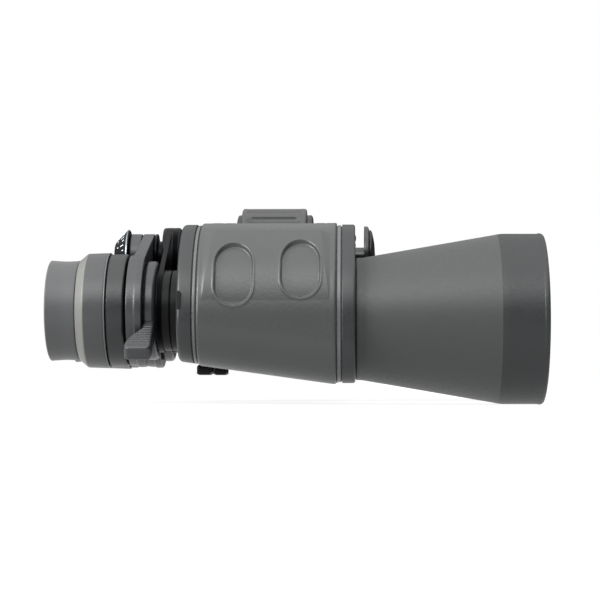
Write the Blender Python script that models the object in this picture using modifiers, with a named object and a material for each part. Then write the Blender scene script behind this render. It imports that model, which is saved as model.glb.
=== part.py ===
"""Zoom Porro-prism binoculars of the 10-30 x 50 class, as an assembly of separate pieces.

Frame: +X runs along the optical axes towards the objectives, +Y is the user's left and +Z is up.
The origin is on the floor under the middle of the binoculars. Lengths in this file are millimetres
and are turned to metres by MM. A turned piece is given as (x, radius) points about its own axis.
Every piece is parented to an empty on the axis of the joint that moves it.
"""

import math

import bmesh
import bpy
from mathutils import Matrix, Vector

MM = 0.001
SIDES = {"left": 1, "right": -1}

# Axes: distance from the mid-plane (U) and height (Z).
HINGE_Z = 58.0
OCULAR_U = 32.0
OCULAR_Z = 35.3
OBJECTIVE_U = 62.5
OBJECTIVE_Z = 31.1

# Prism housing section.
TOP_Z = 66.8
OUTER_U = 89.0
INNER_TOP_U = 21.9
INNER_WAIST = (20.4, 50.0)
INNER_U = 13.2
BODY_REAR = -32.1
BODY_FRONT = 17.2
FLOOR_REAR = 14.1
FLOOR_FRONT = 7.3
COVER_REAR = -39.2
COVER_FRONT = 24.1
ARMOUR_WALL = 1.6
HOUSING_OUT = 1.9
HOUSING_WALL = 2.0
FLANGE_INSET = 0.8
COVER_INSET = 0.5
SEAM = 0.3

# Finger pad on the outer flank.
PAD_HEIGHT = 1.8
PAD_FLOOR = 0.6
PAD_TOP_Z = 61.3
PAD_FADE_Z = 37.0
PAD_REAR = -30.2
PAD_FRONT = 15.0
PAD_FACET = 3.0
RECESSES = ((-19.0, 46.3, 13.7, 23.3), (4.7, 47.9, 13.9, 21.4))

# Prisms.
PRISM_BEAM_R = 10.9
PRISM_HEIGHT = 20.6
PLATE_REAR = -7.8
PLATE_FRONT = -5.8
CLIP_WIDTH = 6.0
CLIP_THICK = 0.6

# Hinge.
LUG_R = 13.3
PIN_R = 8.0
SHAFT_R = 4.0
BORE_GAP = 0.3
LUG_SPANS = {
    "left": ((-32.6, -27.9), (12.8, 17.0)),
    "right": ((-27.6, -22.9), (8.4, 12.5)),
}
WEB_LOW_Z = 50.0
WEB_HIGH_Z = 64.5
WEB_U = 24.0

# Eyepieces.
ARM_RING_R = 21.6
ARM_HUB_R = 9.0
ARM_BORE_R = 17.3
ARM_HUB_SPAN = {"left": (-65.1, -60.5), "right": (-60.2, -55.6)}
ARM_RING_SPAN = (-61.3, -55.3)
SPIGOT_R = 15.3
DRUM_GROOVE_R = 10.8
BAND_THICK = 0.35
BAND_GAP = 0.3
BAND_SPAN = {"left": (-47.6, -45.8), "right": (-50.2, -48.4)}

# Zoom lever.
LEVER_TILT = math.radians(30.0)
LEVER_TIP_R = 32.8
LEVER_THICK = 4.3

# Segments round a circle.
WIDE = 24
MIDDLE = 20
SMALL = 16

# Body name: (distance from mid-plane with sign, height) of the joint axis.
PIVOTS = {
    "left_barrel": (0.0, 0.0),
    "right_barrel": (0.0, HINGE_Z),
    "focus_wheel": (0.0, HINGE_Z),
    "focus_bridge": (0.0, HINGE_Z),
    "right_arm": (0.0, HINGE_Z),
    "zoom_drum": (0.0, HINGE_Z),
    "tripod_cap": (0.0, HINGE_Z),
    "left_zoom_ring": (OCULAR_U, OCULAR_Z),
    "left_zoom_cell": (OCULAR_U, OCULAR_Z),
    "right_zoom_ring": (-OCULAR_U, OCULAR_Z),
    "right_zoom_cell": (-OCULAR_U, OCULAR_Z),
    "dioptre_ring": (-OCULAR_U, OCULAR_Z),
    "right_eyepiece_head": (-OCULAR_U, OCULAR_Z),
}

# Name: (sRGB colour, roughness, metallic).
FINISHES = {
    "armour_rubber": ((110, 111, 112), 0.62, 0.0),
    "cover_plastic": ((73, 74, 77), 0.45, 0.0),
    "body_plastic": ((60, 61, 64), 0.5, 0.0),
    "black_paint": ((24, 25, 28), 0.4, 0.0),
    "eyecup_rubber": ((93, 93, 95), 0.7, 0.0),
    "grip_rubber": ((120, 120, 120), 0.65, 0.0),
    "optical_glass": ((205, 215, 220), 0.02, 0.0),
    "lens_cell_black": ((20, 20, 22), 0.55, 0.0),
    "spring_steel": ((150, 152, 156), 0.3, 1.0),
    "turned_steel": ((120, 122, 126), 0.28, 1.0),
    "brass": ((176, 142, 84), 0.3, 1.0),
}


# ---------------------------------------------------------------- scene and helpers


def clear_scene():
    for obj in list(bpy.data.objects):
        bpy.data.objects.remove(obj, do_unlink=True)


def new_collection(name):
    made = bpy.data.collections.new(name)
    bpy.context.scene.collection.children.link(made)
    return made


def to_linear(channel):
    value = channel / 255
    return value / 12.92 if value <= 0.04045 else ((value + 0.055) / 1.055) ** 2.4


def make_material(name, colour, roughness, metallic):
    made = bpy.data.materials.new(name)
    made.use_nodes = True
    shader = made.node_tree.nodes["Principled BSDF"]
    shader.inputs["Base Color"].default_value = (*map(to_linear, colour), 1.0)
    shader.inputs["Roughness"].default_value = roughness
    shader.inputs["Metallic"].default_value = metallic
    return made


def make_pivot(body, u, z):
    pivot = bpy.data.objects.new(f"{body}_pivot", None)
    pivot.location = (0.0, u * MM, z * MM)
    parts.objects.link(pivot)
    return pivot


def axial_frame(u, z):
    """Local X to world +Y, local Y to world +Z and local Z to world +X, at an axis parallel to X."""
    turn = Matrix(((0, 0, 1), (1, 0, 0), (0, 1, 0))).to_4x4()
    return Matrix.Translation((0.0, u * MM, z * MM)) @ turn


def frame_of(origin, x_axis, y_axis):
    """A right-handed frame in metres from an origin in millimetres and two unit axes."""
    across = Vector(x_axis)
    along = Vector(y_axis)
    turn = Matrix((across, along, across.cross(along))).transposed().to_4x4()
    return Matrix.Translation(Vector(origin) * MM) @ turn


def add_piece(name, mesh, frame, finish, body):
    """Puts a mesh in the parts collection, on its body's pivot."""
    obj = bpy.data.objects.new(name, mesh)
    parts.objects.link(obj)
    pivot = pivots[body]
    obj.parent = pivot
    obj.matrix_parent_inverse = Matrix.Translation(-pivot.location)
    obj.matrix_basis = frame
    mesh.materials.append(materials[finish])
    mesh.shade_smooth()
    mesh.set_sharp_from_angle(angle=math.radians(30.0))
    return obj


def add_cutter(name, mesh, frame):
    obj = bpy.data.objects.new(name, mesh)
    obj.matrix_basis = frame
    obj.display_type = "WIRE"
    obj.hide_render = True
    cutters.objects.link(obj)
    return obj


def combine(obj, other, operation):
    step = obj.modifiers.new(f"{operation.lower()}_{other.name}"[:60], "BOOLEAN")
    step.operation = operation
    step.object = other
    return obj


# ---------------------------------------------------------------- meshes


def profile_mesh(name, outer, bore):
    """The half section of a turned piece: outer runs from front to rear, bore from rear to front."""
    points = [(radius * MM, 0.0, x * MM) for x, radius in (*outer, *bore)]
    edges = [(i, i + 1) for i in range(len(points) - 1)]
    if bore:
        edges.append((len(points) - 1, 0))
    mesh = bpy.data.meshes.new(name)
    mesh.from_pydata(points, edges, [])
    return mesh


def add_screw(obj, steps):
    turn = obj.modifiers.new("turn", "SCREW")
    turn.axis = "Z"
    turn.steps = steps
    turn.render_steps = steps
    turn.use_merge_vertices = True
    turn.merge_threshold = 0.00001
    turn.use_smooth_shade = True


def turned(name, outer, bore, axis, finish, body, steps=MIDDLE):
    obj = add_piece(name, profile_mesh(name, outer, bore), axial_frame(*axis), finish, body)
    add_screw(obj, steps)
    return obj


def turned_cutter(name, outer, axis, steps=MIDDLE):
    obj = add_cutter(name, profile_mesh(name, outer, ()), axial_frame(*axis))
    add_screw(obj, steps)
    return obj


def plate_mesh(name, outlines, low, high):
    """A flat plate from closed outlines in local XY, between two heights; inner outlines are holes."""
    curve = bpy.data.curves.new(name, "CURVE")
    curve.dimensions = "2D"
    curve.fill_mode = "BOTH"
    curve.extrude = (high - low) / 2 * MM
    for outline in outlines:
        spline = curve.splines.new("POLY")
        spline.points.add(len(outline) - 1)
        for point, (x, y) in zip(spline.points, outline):
            point.co = (x * MM, y * MM, 0.0, 1.0)
        spline.use_cyclic_u = True
    drawn = bpy.data.objects.new(name, curve)
    cutters.objects.link(drawn)
    graph = bpy.context.evaluated_depsgraph_get()
    mesh = bpy.data.meshes.new_from_object(drawn.evaluated_get(graph))
    bpy.data.objects.remove(drawn, do_unlink=True)
    bm = bmesh.new()
    bm.from_mesh(mesh)
    bmesh.ops.remove_doubles(bm, verts=bm.verts, dist=0.000001)
    bmesh.ops.translate(bm, verts=bm.verts, vec=(0.0, 0.0, (low + high) / 2 * MM))
    bmesh.ops.recalc_face_normals(bm, faces=bm.faces)
    bm.to_mesh(mesh)
    bm.free()
    return mesh


def loft_mesh(name, sections, closed):
    """Skins equal-length sections in order; closed joins the last to the first, else the ends are capped."""
    bm = bmesh.new()
    rings = [[bm.verts.new(Vector(point) * MM) for point in section] for section in sections]
    following = rings[1:] + rings[:1] if closed else rings[1:]
    for near, far in zip(rings, following):
        for i in range(len(near)):
            j = (i + 1) % len(near)
            bm.faces.new((near[i], near[j], far[j], far[i]))
    if not closed:
        bm.faces.new(rings[0])
        bm.faces.new(rings[-1])
    bmesh.ops.recalc_face_normals(bm, faces=bm.faces)
    mesh = bpy.data.meshes.new(name)
    bm.to_mesh(mesh)
    bm.free()
    return mesh


def box_mesh(name, low, high):
    bm = bmesh.new()
    bmesh.ops.create_cube(bm, size=1.0)
    size = (Vector(high) - Vector(low)) * MM
    bmesh.ops.scale(bm, verts=bm.verts, vec=size)
    bmesh.ops.translate(bm, verts=bm.verts, vec=(Vector(high) + Vector(low)) / 2 * MM)
    mesh = bpy.data.meshes.new(name)
    bm.to_mesh(mesh)
    bm.free()
    return mesh


# ---------------------------------------------------------------- outlines


def arc(centre, radius, start, stop, count):
    """Points on an arc, ends included, with angles in radians."""
    spread = [start + (stop - start) * i / count for i in range(count + 1)]
    return [(centre[0] + radius * math.cos(a), centre[1] + radius * math.sin(a)) for a in spread]


def circle(centre, radius, count):
    return arc(centre, radius, 0.0, math.tau, count)[:-1]


def teardrop(first, first_r, second, second_r, first_count, second_count):
    """The outline round two circles and their outer tangents."""
    span = Vector(second) - Vector(first)
    bearing = math.atan2(span.y, span.x)
    lean = math.acos((first_r - second_r) / span.length)
    around_first = arc(first, first_r, bearing + lean, bearing + math.tau - lean, first_count)
    around_second = arc(second, second_r, bearing - lean, bearing + lean, second_count)
    return around_first + around_second


def stadium(width, height, centre=(0.0, 0.0), count=8):
    """An upright slot shape with half-round ends."""
    radius = width / 2
    reach = height / 2 - radius
    top = arc((centre[0], centre[1] + reach), radius, 0.0, math.pi, count)
    return top + arc((centre[0], centre[1] - reach), radius, math.pi, math.tau, count)


def fluted_circle(radius, depth, flutes):
    """A circle with round-topped ribs, four points to a rib."""
    cycle = (0.0, 0.0, -depth, -depth)
    count = flutes * len(cycle)
    return [
        (
            (radius + cycle[i % len(cycle)]) * math.cos(math.tau * i / count),
            (radius + cycle[i % len(cycle)]) * math.sin(math.tau * i / count),
        )
        for i in range(count)
    ]


def floor_at(x):
    """Height of the housing's underside, which falls towards the front."""
    share = (min(x, BODY_FRONT) - BODY_REAR) / (BODY_FRONT - BODY_REAR)
    return FLOOR_REAR + share * (FLOOR_FRONT - FLOOR_REAR)


def even(count):
    return [i / count for i in range(count + 1)]


def housing_corners(x):
    """(u, z, radius, shares of the arc) of the section's corners, clockwise from the inner top.

    The waist beside the focusing wheel is a hollow corner, so its radius is negative.
    """
    shoulder = [0.0, 0.15, 0.28, 0.38, 0.42, 0.56, 0.7, 0.85, 1.0]
    return (
        (INNER_TOP_U, TOP_Z, 6.0, even(3)),
        (OUTER_U, TOP_Z, 27.0, shoulder),
        (OUTER_U, floor_at(x), 17.0, even(5)),
        (31.0, floor_at(x), 10.0, even(3)),
        (INNER_U, 27.0, 7.0, even(2)),
        (INNER_U, 37.0, 9.0, even(2)),
        (*INNER_WAIST, -12.0, even(1)),
    )


def section_points(x):
    """(point, outward normal) round the housing section at x, as (u, z) vectors."""
    corners = housing_corners(x)
    places = [Vector(corner[:2]) for corner in corners]
    found = []
    for i, (_, _, radius, shares) in enumerate(corners):
        into = (places[i] - places[i - 1]).normalized()
        out = (places[(i + 1) % len(places)] - places[i]).normalized()
        first = Vector((-into.y, into.x))
        last = Vector((-out.y, out.x))
        centre = places[i] - (first + last) * radius / (1 + first.dot(last))
        turn = math.atan2(first.cross(last), first.dot(last))
        for share in shares:
            normal = Matrix.Rotation(turn * share, 2) @ first
            found.append((centre + normal * radius, normal))
    return found


def pad_lift(point, height):
    """How far the finger pad stands out at a point of the section."""
    if point.x < OUTER_U / 2 or not PAD_FADE_Z < point.y < PAD_TOP_Z:
        return 0.0
    return height * (point.y - PAD_FADE_Z) / (PAD_TOP_Z - PAD_FADE_Z)


def housing_section(side, x, inset, pad=0.0):
    """The section at x, moved in by inset, with the pad standing out by pad."""
    placed = []
    for point, normal in section_points(x):
        moved = point + normal * (pad_lift(point, pad) - inset)
        placed.append((x, SIDES[side] * moved.x, moved.y))
    return placed


# ---------------------------------------------------------------- barrels


def ocular_axis(side):
    return (SIDES[side] * OCULAR_U, OCULAR_Z)


def objective_axis(side):
    return (SIDES[side] * OBJECTIVE_U, OBJECTIVE_Z)


def lug_outline(side):
    """A hinge lug: a ring round the hinge with a web to the housing wall."""
    sign = SIDES[side]
    high = math.asin((WEB_HIGH_Z - HINGE_Z) / LUG_R)
    low = math.asin((WEB_LOW_Z - HINGE_Z) / LUG_R)
    rim = arc((0.0, 0.0), LUG_R, high, math.tau + low, 20)
    corners = [(WEB_U, WEB_LOW_Z - HINGE_Z), (WEB_U, WEB_HIGH_Z - HINGE_Z)]
    return [(sign * y, z) for y, z in rim + corners]


def make_housing(side, ocular_bore):
    outer = HOUSING_OUT
    inner = HOUSING_OUT + HOUSING_WALL
    stations = (
        (BODY_REAR - 1.5, FLANGE_INSET),
        (BODY_REAR - SEAM, FLANGE_INSET),
        (BODY_REAR - SEAM, outer),
        (BODY_FRONT + SEAM, outer),
        (BODY_FRONT + SEAM, FLANGE_INSET),
        (BODY_FRONT + 1.8, FLANGE_INSET),
        (BODY_FRONT + 1.8, inner),
        (BODY_REAR - 1.5, inner),
    )
    sections = [housing_section(side, x, inset) for x, inset in stations]
    name = f"{side}_prism_housing"
    mesh = loft_mesh(name, sections, closed=True)
    obj = add_piece(name, mesh, Matrix(), "body_plastic", f"{side}_barrel")
    hole = circle((0.0, 0.0), PIN_R + BORE_GAP, 20)
    for place, (rear, front) in zip(("rear", "front"), LUG_SPANS[side]):
        lug_name = f"{side}_{place}_lug"
        lug = plate_mesh(lug_name, (lug_outline(side), hole), rear, front)
        combine(obj, add_cutter(lug_name, lug, axial_frame(0.0, HINGE_Z)), "UNION")
    combine(obj, ocular_bore, "DIFFERENCE")


def make_recess_cutter(side, index):
    """An upright slot shape whose floor follows the flank a little below the pad."""
    x, z, width, height = RECESSES[index]
    outline = stadium(width, height, (x, z))
    reach = (55.0, 98.0) if side == "right" else (-98.0, -55.0)
    name = f"{side}_recess_{index}"
    frame = frame_of((0.0, 0.0, 0.0), (1, 0, 0), (0, 0, 1))
    slot = add_cutter(name, plate_mesh(name, (outline,), *reach), frame)
    stations = (PAD_REAR - 1.0, PAD_FRONT + 1.0)
    sections = [housing_section(side, station, 0.0, PAD_FLOOR) for station in stations]
    core_name = f"{side}_recess_core_{index}"
    core = add_cutter(core_name, loft_mesh(core_name, sections, closed=False), Matrix())
    return combine(slot, core, "DIFFERENCE")


def make_armour(side):
    edge = 0.4
    stations = (
        (BODY_REAR, edge, 0.0),
        (BODY_REAR + 0.8, 0.0, 0.0),
        (PAD_REAR, 0.0, 0.0),
        (PAD_REAR + PAD_FACET, 0.0, PAD_HEIGHT),
        (PAD_FRONT - PAD_FACET, 0.0, PAD_HEIGHT),
        (PAD_FRONT, 0.0, 0.0),
        (BODY_FRONT - 0.8, 0.0, 0.0),
        (BODY_FRONT, edge, 0.0),
        (BODY_FRONT, ARMOUR_WALL, 0.0),
        (BODY_REAR, ARMOUR_WALL, 0.0),
    )
    sections = [housing_section(side, *station) for station in stations]
    name = f"{side}_armour"
    mesh = loft_mesh(name, sections, closed=True)
    obj = add_piece(name, mesh, Matrix(), "armour_rubber", f"{side}_barrel")
    for place, (rear, front) in zip(("rear", "front"), LUG_SPANS[side]):
        clearance = 0.4
        spread = sorted((SIDES[side] * 10.0, SIDES[side] * 30.0))
        low = (rear - clearance, spread[0], WEB_LOW_Z - clearance)
        high = (front + clearance, spread[1], WEB_HIGH_Z + clearance)
        cutter_name = f"{side}_{place}_lug_window"
        cutter = add_cutter(cutter_name, box_mesh(cutter_name, low, high), Matrix())
        combine(obj, cutter, "DIFFERENCE")
    for index in range(len(RECESSES)):
        combine(obj, make_recess_cutter(side, index), "DIFFERENCE")


def make_ocular_bore(side):
    """The clearance that the ocular tube slides in, through the rear cover and the housing's mouth."""
    radius = SPIGOT_R + BORE_GAP
    bore = ((-27.0, 0.0), (-27.0, radius), (-45.0, radius), (-45.0, 0.0))
    return turned_cutter(f"{side}_ocular_bore", bore, ocular_axis(side))


def make_rear_cover(side, ocular_bore):
    wall = COVER_INSET + 2.1
    mouth = BODY_REAR - 1.8
    stations = (
        (COVER_REAR + 3.6, wall),
        (mouth, wall),
        (mouth, COVER_INSET),
        (COVER_REAR + 1.0, COVER_INSET),
        (COVER_REAR, COVER_INSET + 1.2),
    )
    name = f"{side}_rear_cover"
    sections = [housing_section(side, x, inset) for x, inset in stations]
    mesh = loft_mesh(name, sections, closed=False)
    obj = add_piece(name, mesh, Matrix(), "cover_plastic", f"{side}_barrel")
    combine(obj, ocular_bore, "DIFFERENCE")


def make_front_cover(side):
    wall = COVER_INSET + 2.1
    mouth = BODY_FRONT + 2.1
    stations = (
        (COVER_FRONT - 2.0, wall),
        (mouth, wall),
        (mouth, COVER_INSET),
        (COVER_FRONT - 0.6, COVER_INSET),
        (COVER_FRONT, COVER_INSET + 0.6),
    )
    name = f"{side}_front_cover"
    sections = [housing_section(side, x, inset) for x, inset in stations]
    mesh = loft_mesh(name, sections, closed=False)
    obj = add_piece(name, mesh, Matrix(), "cover_plastic", f"{side}_barrel")
    bore = ((30.0, 0.0), (30.0, 20.3), (10.0, 20.3), (10.0, 0.0))
    cutter = turned_cutter(f"{side}_objective_bore", bore, objective_axis(side), WIDE)
    combine(obj, cutter, "DIFFERENCE")


def lens_profile(front, front_bulge, rear, rear_bulge, radius):
    """A lens from its front and rear vertices; a bulge is how far the middle stands beyond the edge."""
    shares = (0.0, 0.4, 0.75, 1.0)
    face = [(front - front_bulge * share**2, radius * share) for share in shares]
    back = [(rear + rear_bulge * share**2, radius * share) for share in reversed(shares)]
    return face + back


def make_objective(side):
    axis = objective_axis(side)
    body = f"{side}_barrel"
    outer = (
        (92.0, 30.3), (91.4, 31.0), (90.4, 31.1), (76.6, 31.0),
        (74.8, 30.75), (24.4, 22.0), (24.4, 20.0), (19.6, 20.0),
    )
    bore = (
        (19.6, 18.0), (66.8, 24.6), (66.8, 26.7),
        (79.6, 26.7), (79.6, 28.9), (92.0, 29.7),
    )
    turned(f"{side}_objective_barrel", outer, bore, axis, "armour_rubber", body, WIDE)
    crown = lens_profile(78.6, 3.2, 69.6, 4.4, 26.4)
    flint = lens_profile(69.2, -4.4, 67.2, 0.0, 26.4)
    turned(f"{side}_objective_crown", crown, (), axis, "optical_glass", body)
    turned(f"{side}_objective_flint", flint, (), axis, "optical_glass", body)
    turned(
        f"{side}_objective_retainer",
        ((79.3, 26.4), (76.2, 26.4)),
        ((76.2, 24.9), (79.3, 25.4)),
        axis, "lens_cell_black", body,
    )


def prism_places(side):
    """Rear and front prism: middle of the long face, long axis and the way that the roof edge points."""
    sign = SIDES[side]
    shared = Vector((49.3, 48.5))
    objective = Vector((OBJECTIVE_U, OBJECTIVE_Z))
    ocular = Vector((OCULAR_U, OCULAR_Z))
    places = {}
    for name, other, face, away in (
        ("rear", objective, PLATE_REAR - SEAM, -1),
        ("front", ocular, PLATE_FRONT + SEAM, 1),
    ):
        middle = (shared + other) / 2
        run = (shared - other).normalized()
        long_axis = Vector((0.0, sign * run.x, run.y))
        places[name] = ((face, sign * middle.x, middle.y), long_axis, Vector((away, 0, 0)))
    return places


def slice_off(bm, point, normal):
    """Cuts away what lies beyond a plane and closes the cut."""
    whole = bm.verts[:] + bm.edges[:] + bm.faces[:]
    cut = bmesh.ops.bisect_plane(bm, geom=whole, plane_co=point, plane_no=normal, clear_outer=True)
    rim = [item for item in cut["geom_cut"] if isinstance(item, bmesh.types.BMEdge)]
    bmesh.ops.holes_fill(bm, edges=rim, sides=0)


def make_prism(side, place):
    """A right-angle prism, its long face on the plate, with rounded ends and a blunted roof edge."""
    origin, long_axis, away = prism_places(side)[place]
    half = 2 * PRISM_BEAM_R
    outline = [(x, y) for y, x in stadium(half, 2 * half)]
    name = f"{side}_{place}_prism"
    mesh = plate_mesh(name, (outline,), 0.0, PRISM_HEIGHT)
    bm = bmesh.new()
    bm.from_mesh(mesh)
    for sign in (-1, 1):
        slice_off(bm, (sign * (half - 0.6) * MM, 0.0, 0.6 * MM), Vector((sign, 0, 1)).normalized())
    bmesh.ops.recalc_face_normals(bm, faces=bm.faces)
    bm.to_mesh(mesh)
    bm.free()
    frame = frame_of(origin, long_axis, away.cross(long_axis))
    add_piece(name, mesh, frame, "optical_glass", f"{side}_barrel")


def make_prism_clip(side, place):
    """A steel strap that bridges the roof edge and holds the prism on its plate."""
    origin, long_axis, away = prism_places(side)[place]
    inner = PRISM_BEAM_R + 0.4
    top = PRISM_HEIGHT + 0.5
    outer = inner + CLIP_THICK
    lid = top + CLIP_THICK
    outline = (
        (-outer, 0.1), (-inner, 0.1), (-inner, top), (inner, top),
        (inner, 0.1), (outer, 0.1), (outer, lid), (-outer, lid),
    )
    name = f"{side}_{place}_prism_clip"
    mesh = plate_mesh(name, (outline,), -CLIP_WIDTH / 2, CLIP_WIDTH / 2)
    frame = frame_of(origin, away.cross(long_axis), away)
    add_piece(name, mesh, frame, "spring_steel", f"{side}_barrel")


def make_prism_plate(side):
    """The plate across the housing that both prisms sit on, with a window for each beam."""
    middle = (PLATE_REAR + PLATE_FRONT) / 2
    inset = HOUSING_OUT + HOUSING_WALL + 1.2
    edge = [(y, z) for _, y, z in housing_section(side, middle, inset)]
    centres = ((OBJECTIVE_U, OBJECTIVE_Z), (49.3, 48.5), (OCULAR_U, OCULAR_Z))
    windows = [circle((SIDES[side] * u, z), PRISM_BEAM_R - 0.9, 16) for u, z in centres]
    name = f"{side}_prism_plate"
    mesh = plate_mesh(name, (edge, *windows), PLATE_REAR, PLATE_FRONT)
    add_piece(name, mesh, axial_frame(0.0, 0.0), "lens_cell_black", f"{side}_barrel")


def make_strap_lug(side):
    """A bar on two feet under the housing's rear edge; the strap passes above the bar."""
    middle = SIDES[side] * 43.0
    half, bar, foot = 7.0, 1.5, 2.0
    low, high = 10.7, 13.4
    bend = 1.4
    outline = [
        *arc((-half + bend, low + bend), bend, math.pi, 1.5 * math.pi, 3),
        *arc((half - bend, low + bend), bend, 1.5 * math.pi, math.tau, 3),
        (half, high), (half - foot, high), (half - foot, low + bar),
        (-half + foot, low + bar), (-half + foot, high), (-half, high),
    ]
    name = f"{side}_strap_lug"
    mesh = plate_mesh(name, (outline,), -34.8, -29.4)
    add_piece(name, mesh, axial_frame(middle, 0.0), "black_paint", f"{side}_barrel")


def make_barrel(side):
    ocular_bore = make_ocular_bore(side)
    make_housing(side, ocular_bore)
    make_armour(side)
    make_rear_cover(side, ocular_bore)
    make_front_cover(side)
    make_objective(side)
    make_prism_plate(side)
    for place in ("rear", "front"):
        make_prism(side, place)
        make_prism_clip(side, place)
    make_strap_lug(side)


# ---------------------------------------------------------------- hinge and focusing


def make_hinge():
    axis = (0.0, HINGE_Z)
    shaft_bore = SHAFT_R + BORE_GAP
    sleeve = (
        (-22.9, PIN_R), (-33.0, PIN_R), (-33.0, 11.4), (-41.9, 11.4), (-42.5, 10.8),
    )
    sleeve_bore = ((-42.5, shaft_bore), (-22.9, shaft_bore))
    turned("hinge_sleeve", sleeve, sleeve_bore, axis, "black_paint", "left_barrel")
    socket = (
        (11.8, 0.0), (11.8, 3.4), (23.8, 3.4), (23.8, 6.5),
        (17.3, 6.5), (17.3, PIN_R), (8.2, PIN_R), (8.2, 0.0),
    )
    turned("tripod_socket", socket, (), axis, "turned_steel", "left_barrel")
    cap = (
        (32.2, 0.0), (31.9, 5.5), (31.0, 9.6), (30.3, 10.6), (29.9, 10.2),
        (29.4, 11.8), (27.8, 12.0), (27.8, 3.1), (12.2, 3.1), (12.2, 0.0),
    )
    turned("tripod_socket_cap", cap, (), axis, "black_paint", "tripod_cap")


def make_focus_drive():
    axis = (0.0, HINGE_Z)
    hub = (
        (7.6, 15.4), (7.1, 16.4), (5.5, 16.4), (5.5, 13.6), (-20.8, 13.6),
        (-20.8, 16.4), (-21.9, 16.4), (-22.4, 15.4),
    )
    turned("focus_wheel_hub", hub, ((-22.4, 7.9), (7.6, 7.9)), axis, "cover_plastic", "focus_wheel")
    nut = ((4.5, 7.6), (-19.5, 7.6))
    nut_bore = ((-19.5, SHAFT_R + BORE_GAP), (4.5, SHAFT_R + BORE_GAP))
    turned("focus_nut", nut, nut_bore, axis, "brass", "focus_wheel", SMALL)
    rim = fluted_circle(19.0, 0.9, 18)
    grip = plate_mesh("focus_wheel_grip", (rim, circle((0.0, 0.0), 13.9, 24)), -20.4, 5.1)
    add_piece("focus_wheel_grip", grip, axial_frame(*axis), "grip_rubber", "focus_wheel")
    shaft = (
        (4.0, 0.0), (4.0, 3.4), (3.4, SHAFT_R), (-52.2, SHAFT_R), (-52.2, 6.1),
        (-54.0, 6.1), (-54.0, SHAFT_R), (-69.8, SHAFT_R), (-69.8, 0.0),
    )
    turned("focus_shaft", shaft, (), axis, "turned_steel", "focus_bridge", SMALL)


def make_bridge_stack():
    axis = (0.0, HINGE_Z)
    bore = SHAFT_R + BORE_GAP
    cap = (
        (-70.2, 0.0), (-70.2, bore), (-65.5, bore), (-65.5, 10.4), (-66.0, 10.6),
        (-66.6, 10.3), (-70.9, 5.9), (-71.5, 4.8), (-71.6, 0.0),
    )
    turned("interpupillary_scale_cap", cap, (), axis, "black_paint", "focus_bridge")
    washer = ((-54.3, ARM_HUB_R), (-55.2, ARM_HUB_R))
    washer_bore = ((-55.2, bore), (-54.3, bore))
    turned("thrust_washer", washer, washer_bore, axis, "spring_steel", "focus_bridge", SMALL)
    drum = [(-45.0, 11.0), (-45.4, 11.4)]
    for side in ("left", "right"):
        rear, front = BAND_SPAN[side]
        drum += [(front + 0.1, 11.4), (front + 0.1, DRUM_GROOVE_R)]
        drum += [(rear - 0.1, DRUM_GROOVE_R), (rear - 0.1, 11.4)]
    drum += [(-51.5, 11.4), (-51.9, 11.0)]
    turned("zoom_drum", drum, ((-51.9, bore), (-45.0, bore)), axis, "black_paint", "zoom_drum")


# ---------------------------------------------------------------- eyepieces


def bridge_body(side):
    return "focus_bridge" if side == "left" else "right_arm"


def make_arm(side):
    """A teardrop link from the hinge to a ring that holds the ocular tube."""
    hinge = (0.0, 0.0)
    ocular = (SIDES[side] * OCULAR_U, OCULAR_Z - HINGE_Z)
    outline = teardrop(ocular, ARM_RING_R - 0.6, hinge, ARM_HUB_R, 16, 8)
    holes = (circle(ocular, ARM_BORE_R, MIDDLE), circle(hinge, SHAFT_R + BORE_GAP, 16))
    name = f"{side}_eyepiece_arm"
    mesh = plate_mesh(name, (outline, *holes), *ARM_HUB_SPAN[side])
    obj = add_piece(name, mesh, axial_frame(0.0, HINGE_Z), "cover_plastic", bridge_body(side))
    rear, front = ARM_RING_SPAN
    ring = (
        (front, ARM_RING_R - 0.6), (front - 0.6, ARM_RING_R), (rear + 0.6, ARM_RING_R - 0.2),
        (rear, ARM_RING_R - 0.8),
    )
    bore = ((rear, ARM_BORE_R + 0.05), (front, ARM_BORE_R + 0.05))
    cutter_name = f"{side}_arm_ring"
    collar = add_cutter(
        cutter_name, profile_mesh(cutter_name, ring, bore), axial_frame(*ocular_axis(side))
    )
    add_screw(collar, WIDE)
    combine(obj, collar, "UNION")


def make_ocular_tube(side):
    seat_rear = ARM_HUB_SPAN["left"][0] - 0.3 if side == "left" else -61.6
    tube = (
        (-32.4, SPIGOT_R), (-45.0, SPIGOT_R), (-45.0, 14.0), (-55.0, 14.0),
        (-55.0, ARM_BORE_R - 0.3), (seat_rear, ARM_BORE_R - 0.3), (seat_rear, 16.0), (-68.4, 16.0),
    )
    bore = ((-68.4, 12.6), (-32.4, 12.6))
    name = f"{side}_ocular_tube"
    turned(name, tube, bore, ocular_axis(side), "black_paint", bridge_body(side))


def lever_outline():
    """The zoom lever in (radius, x): straight in front, flaring towards the eye in a curve."""
    root_r, flare_r, side_r = 17.0, 22.6, 31.4
    front, rear, reach = -50.9, -54.8, -60.2
    steps = 5
    flank = []
    for i in range(steps + 1):
        share = i / steps
        sweep = math.sin(share * math.pi / 2)
        flank.append((flare_r + share * (side_r - flare_r), rear + sweep * (reach - rear)))
    corner = LEVER_TIP_R - side_r
    tip = arc((side_r, reach + corner), corner, -math.pi / 2, 0.0, 2)[1:]
    nose = arc((side_r, front - corner), corner, 0.0, math.pi / 2, 2)
    return [(root_r, rear), *flank, *tip, *nose, (root_r, front)]


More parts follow.
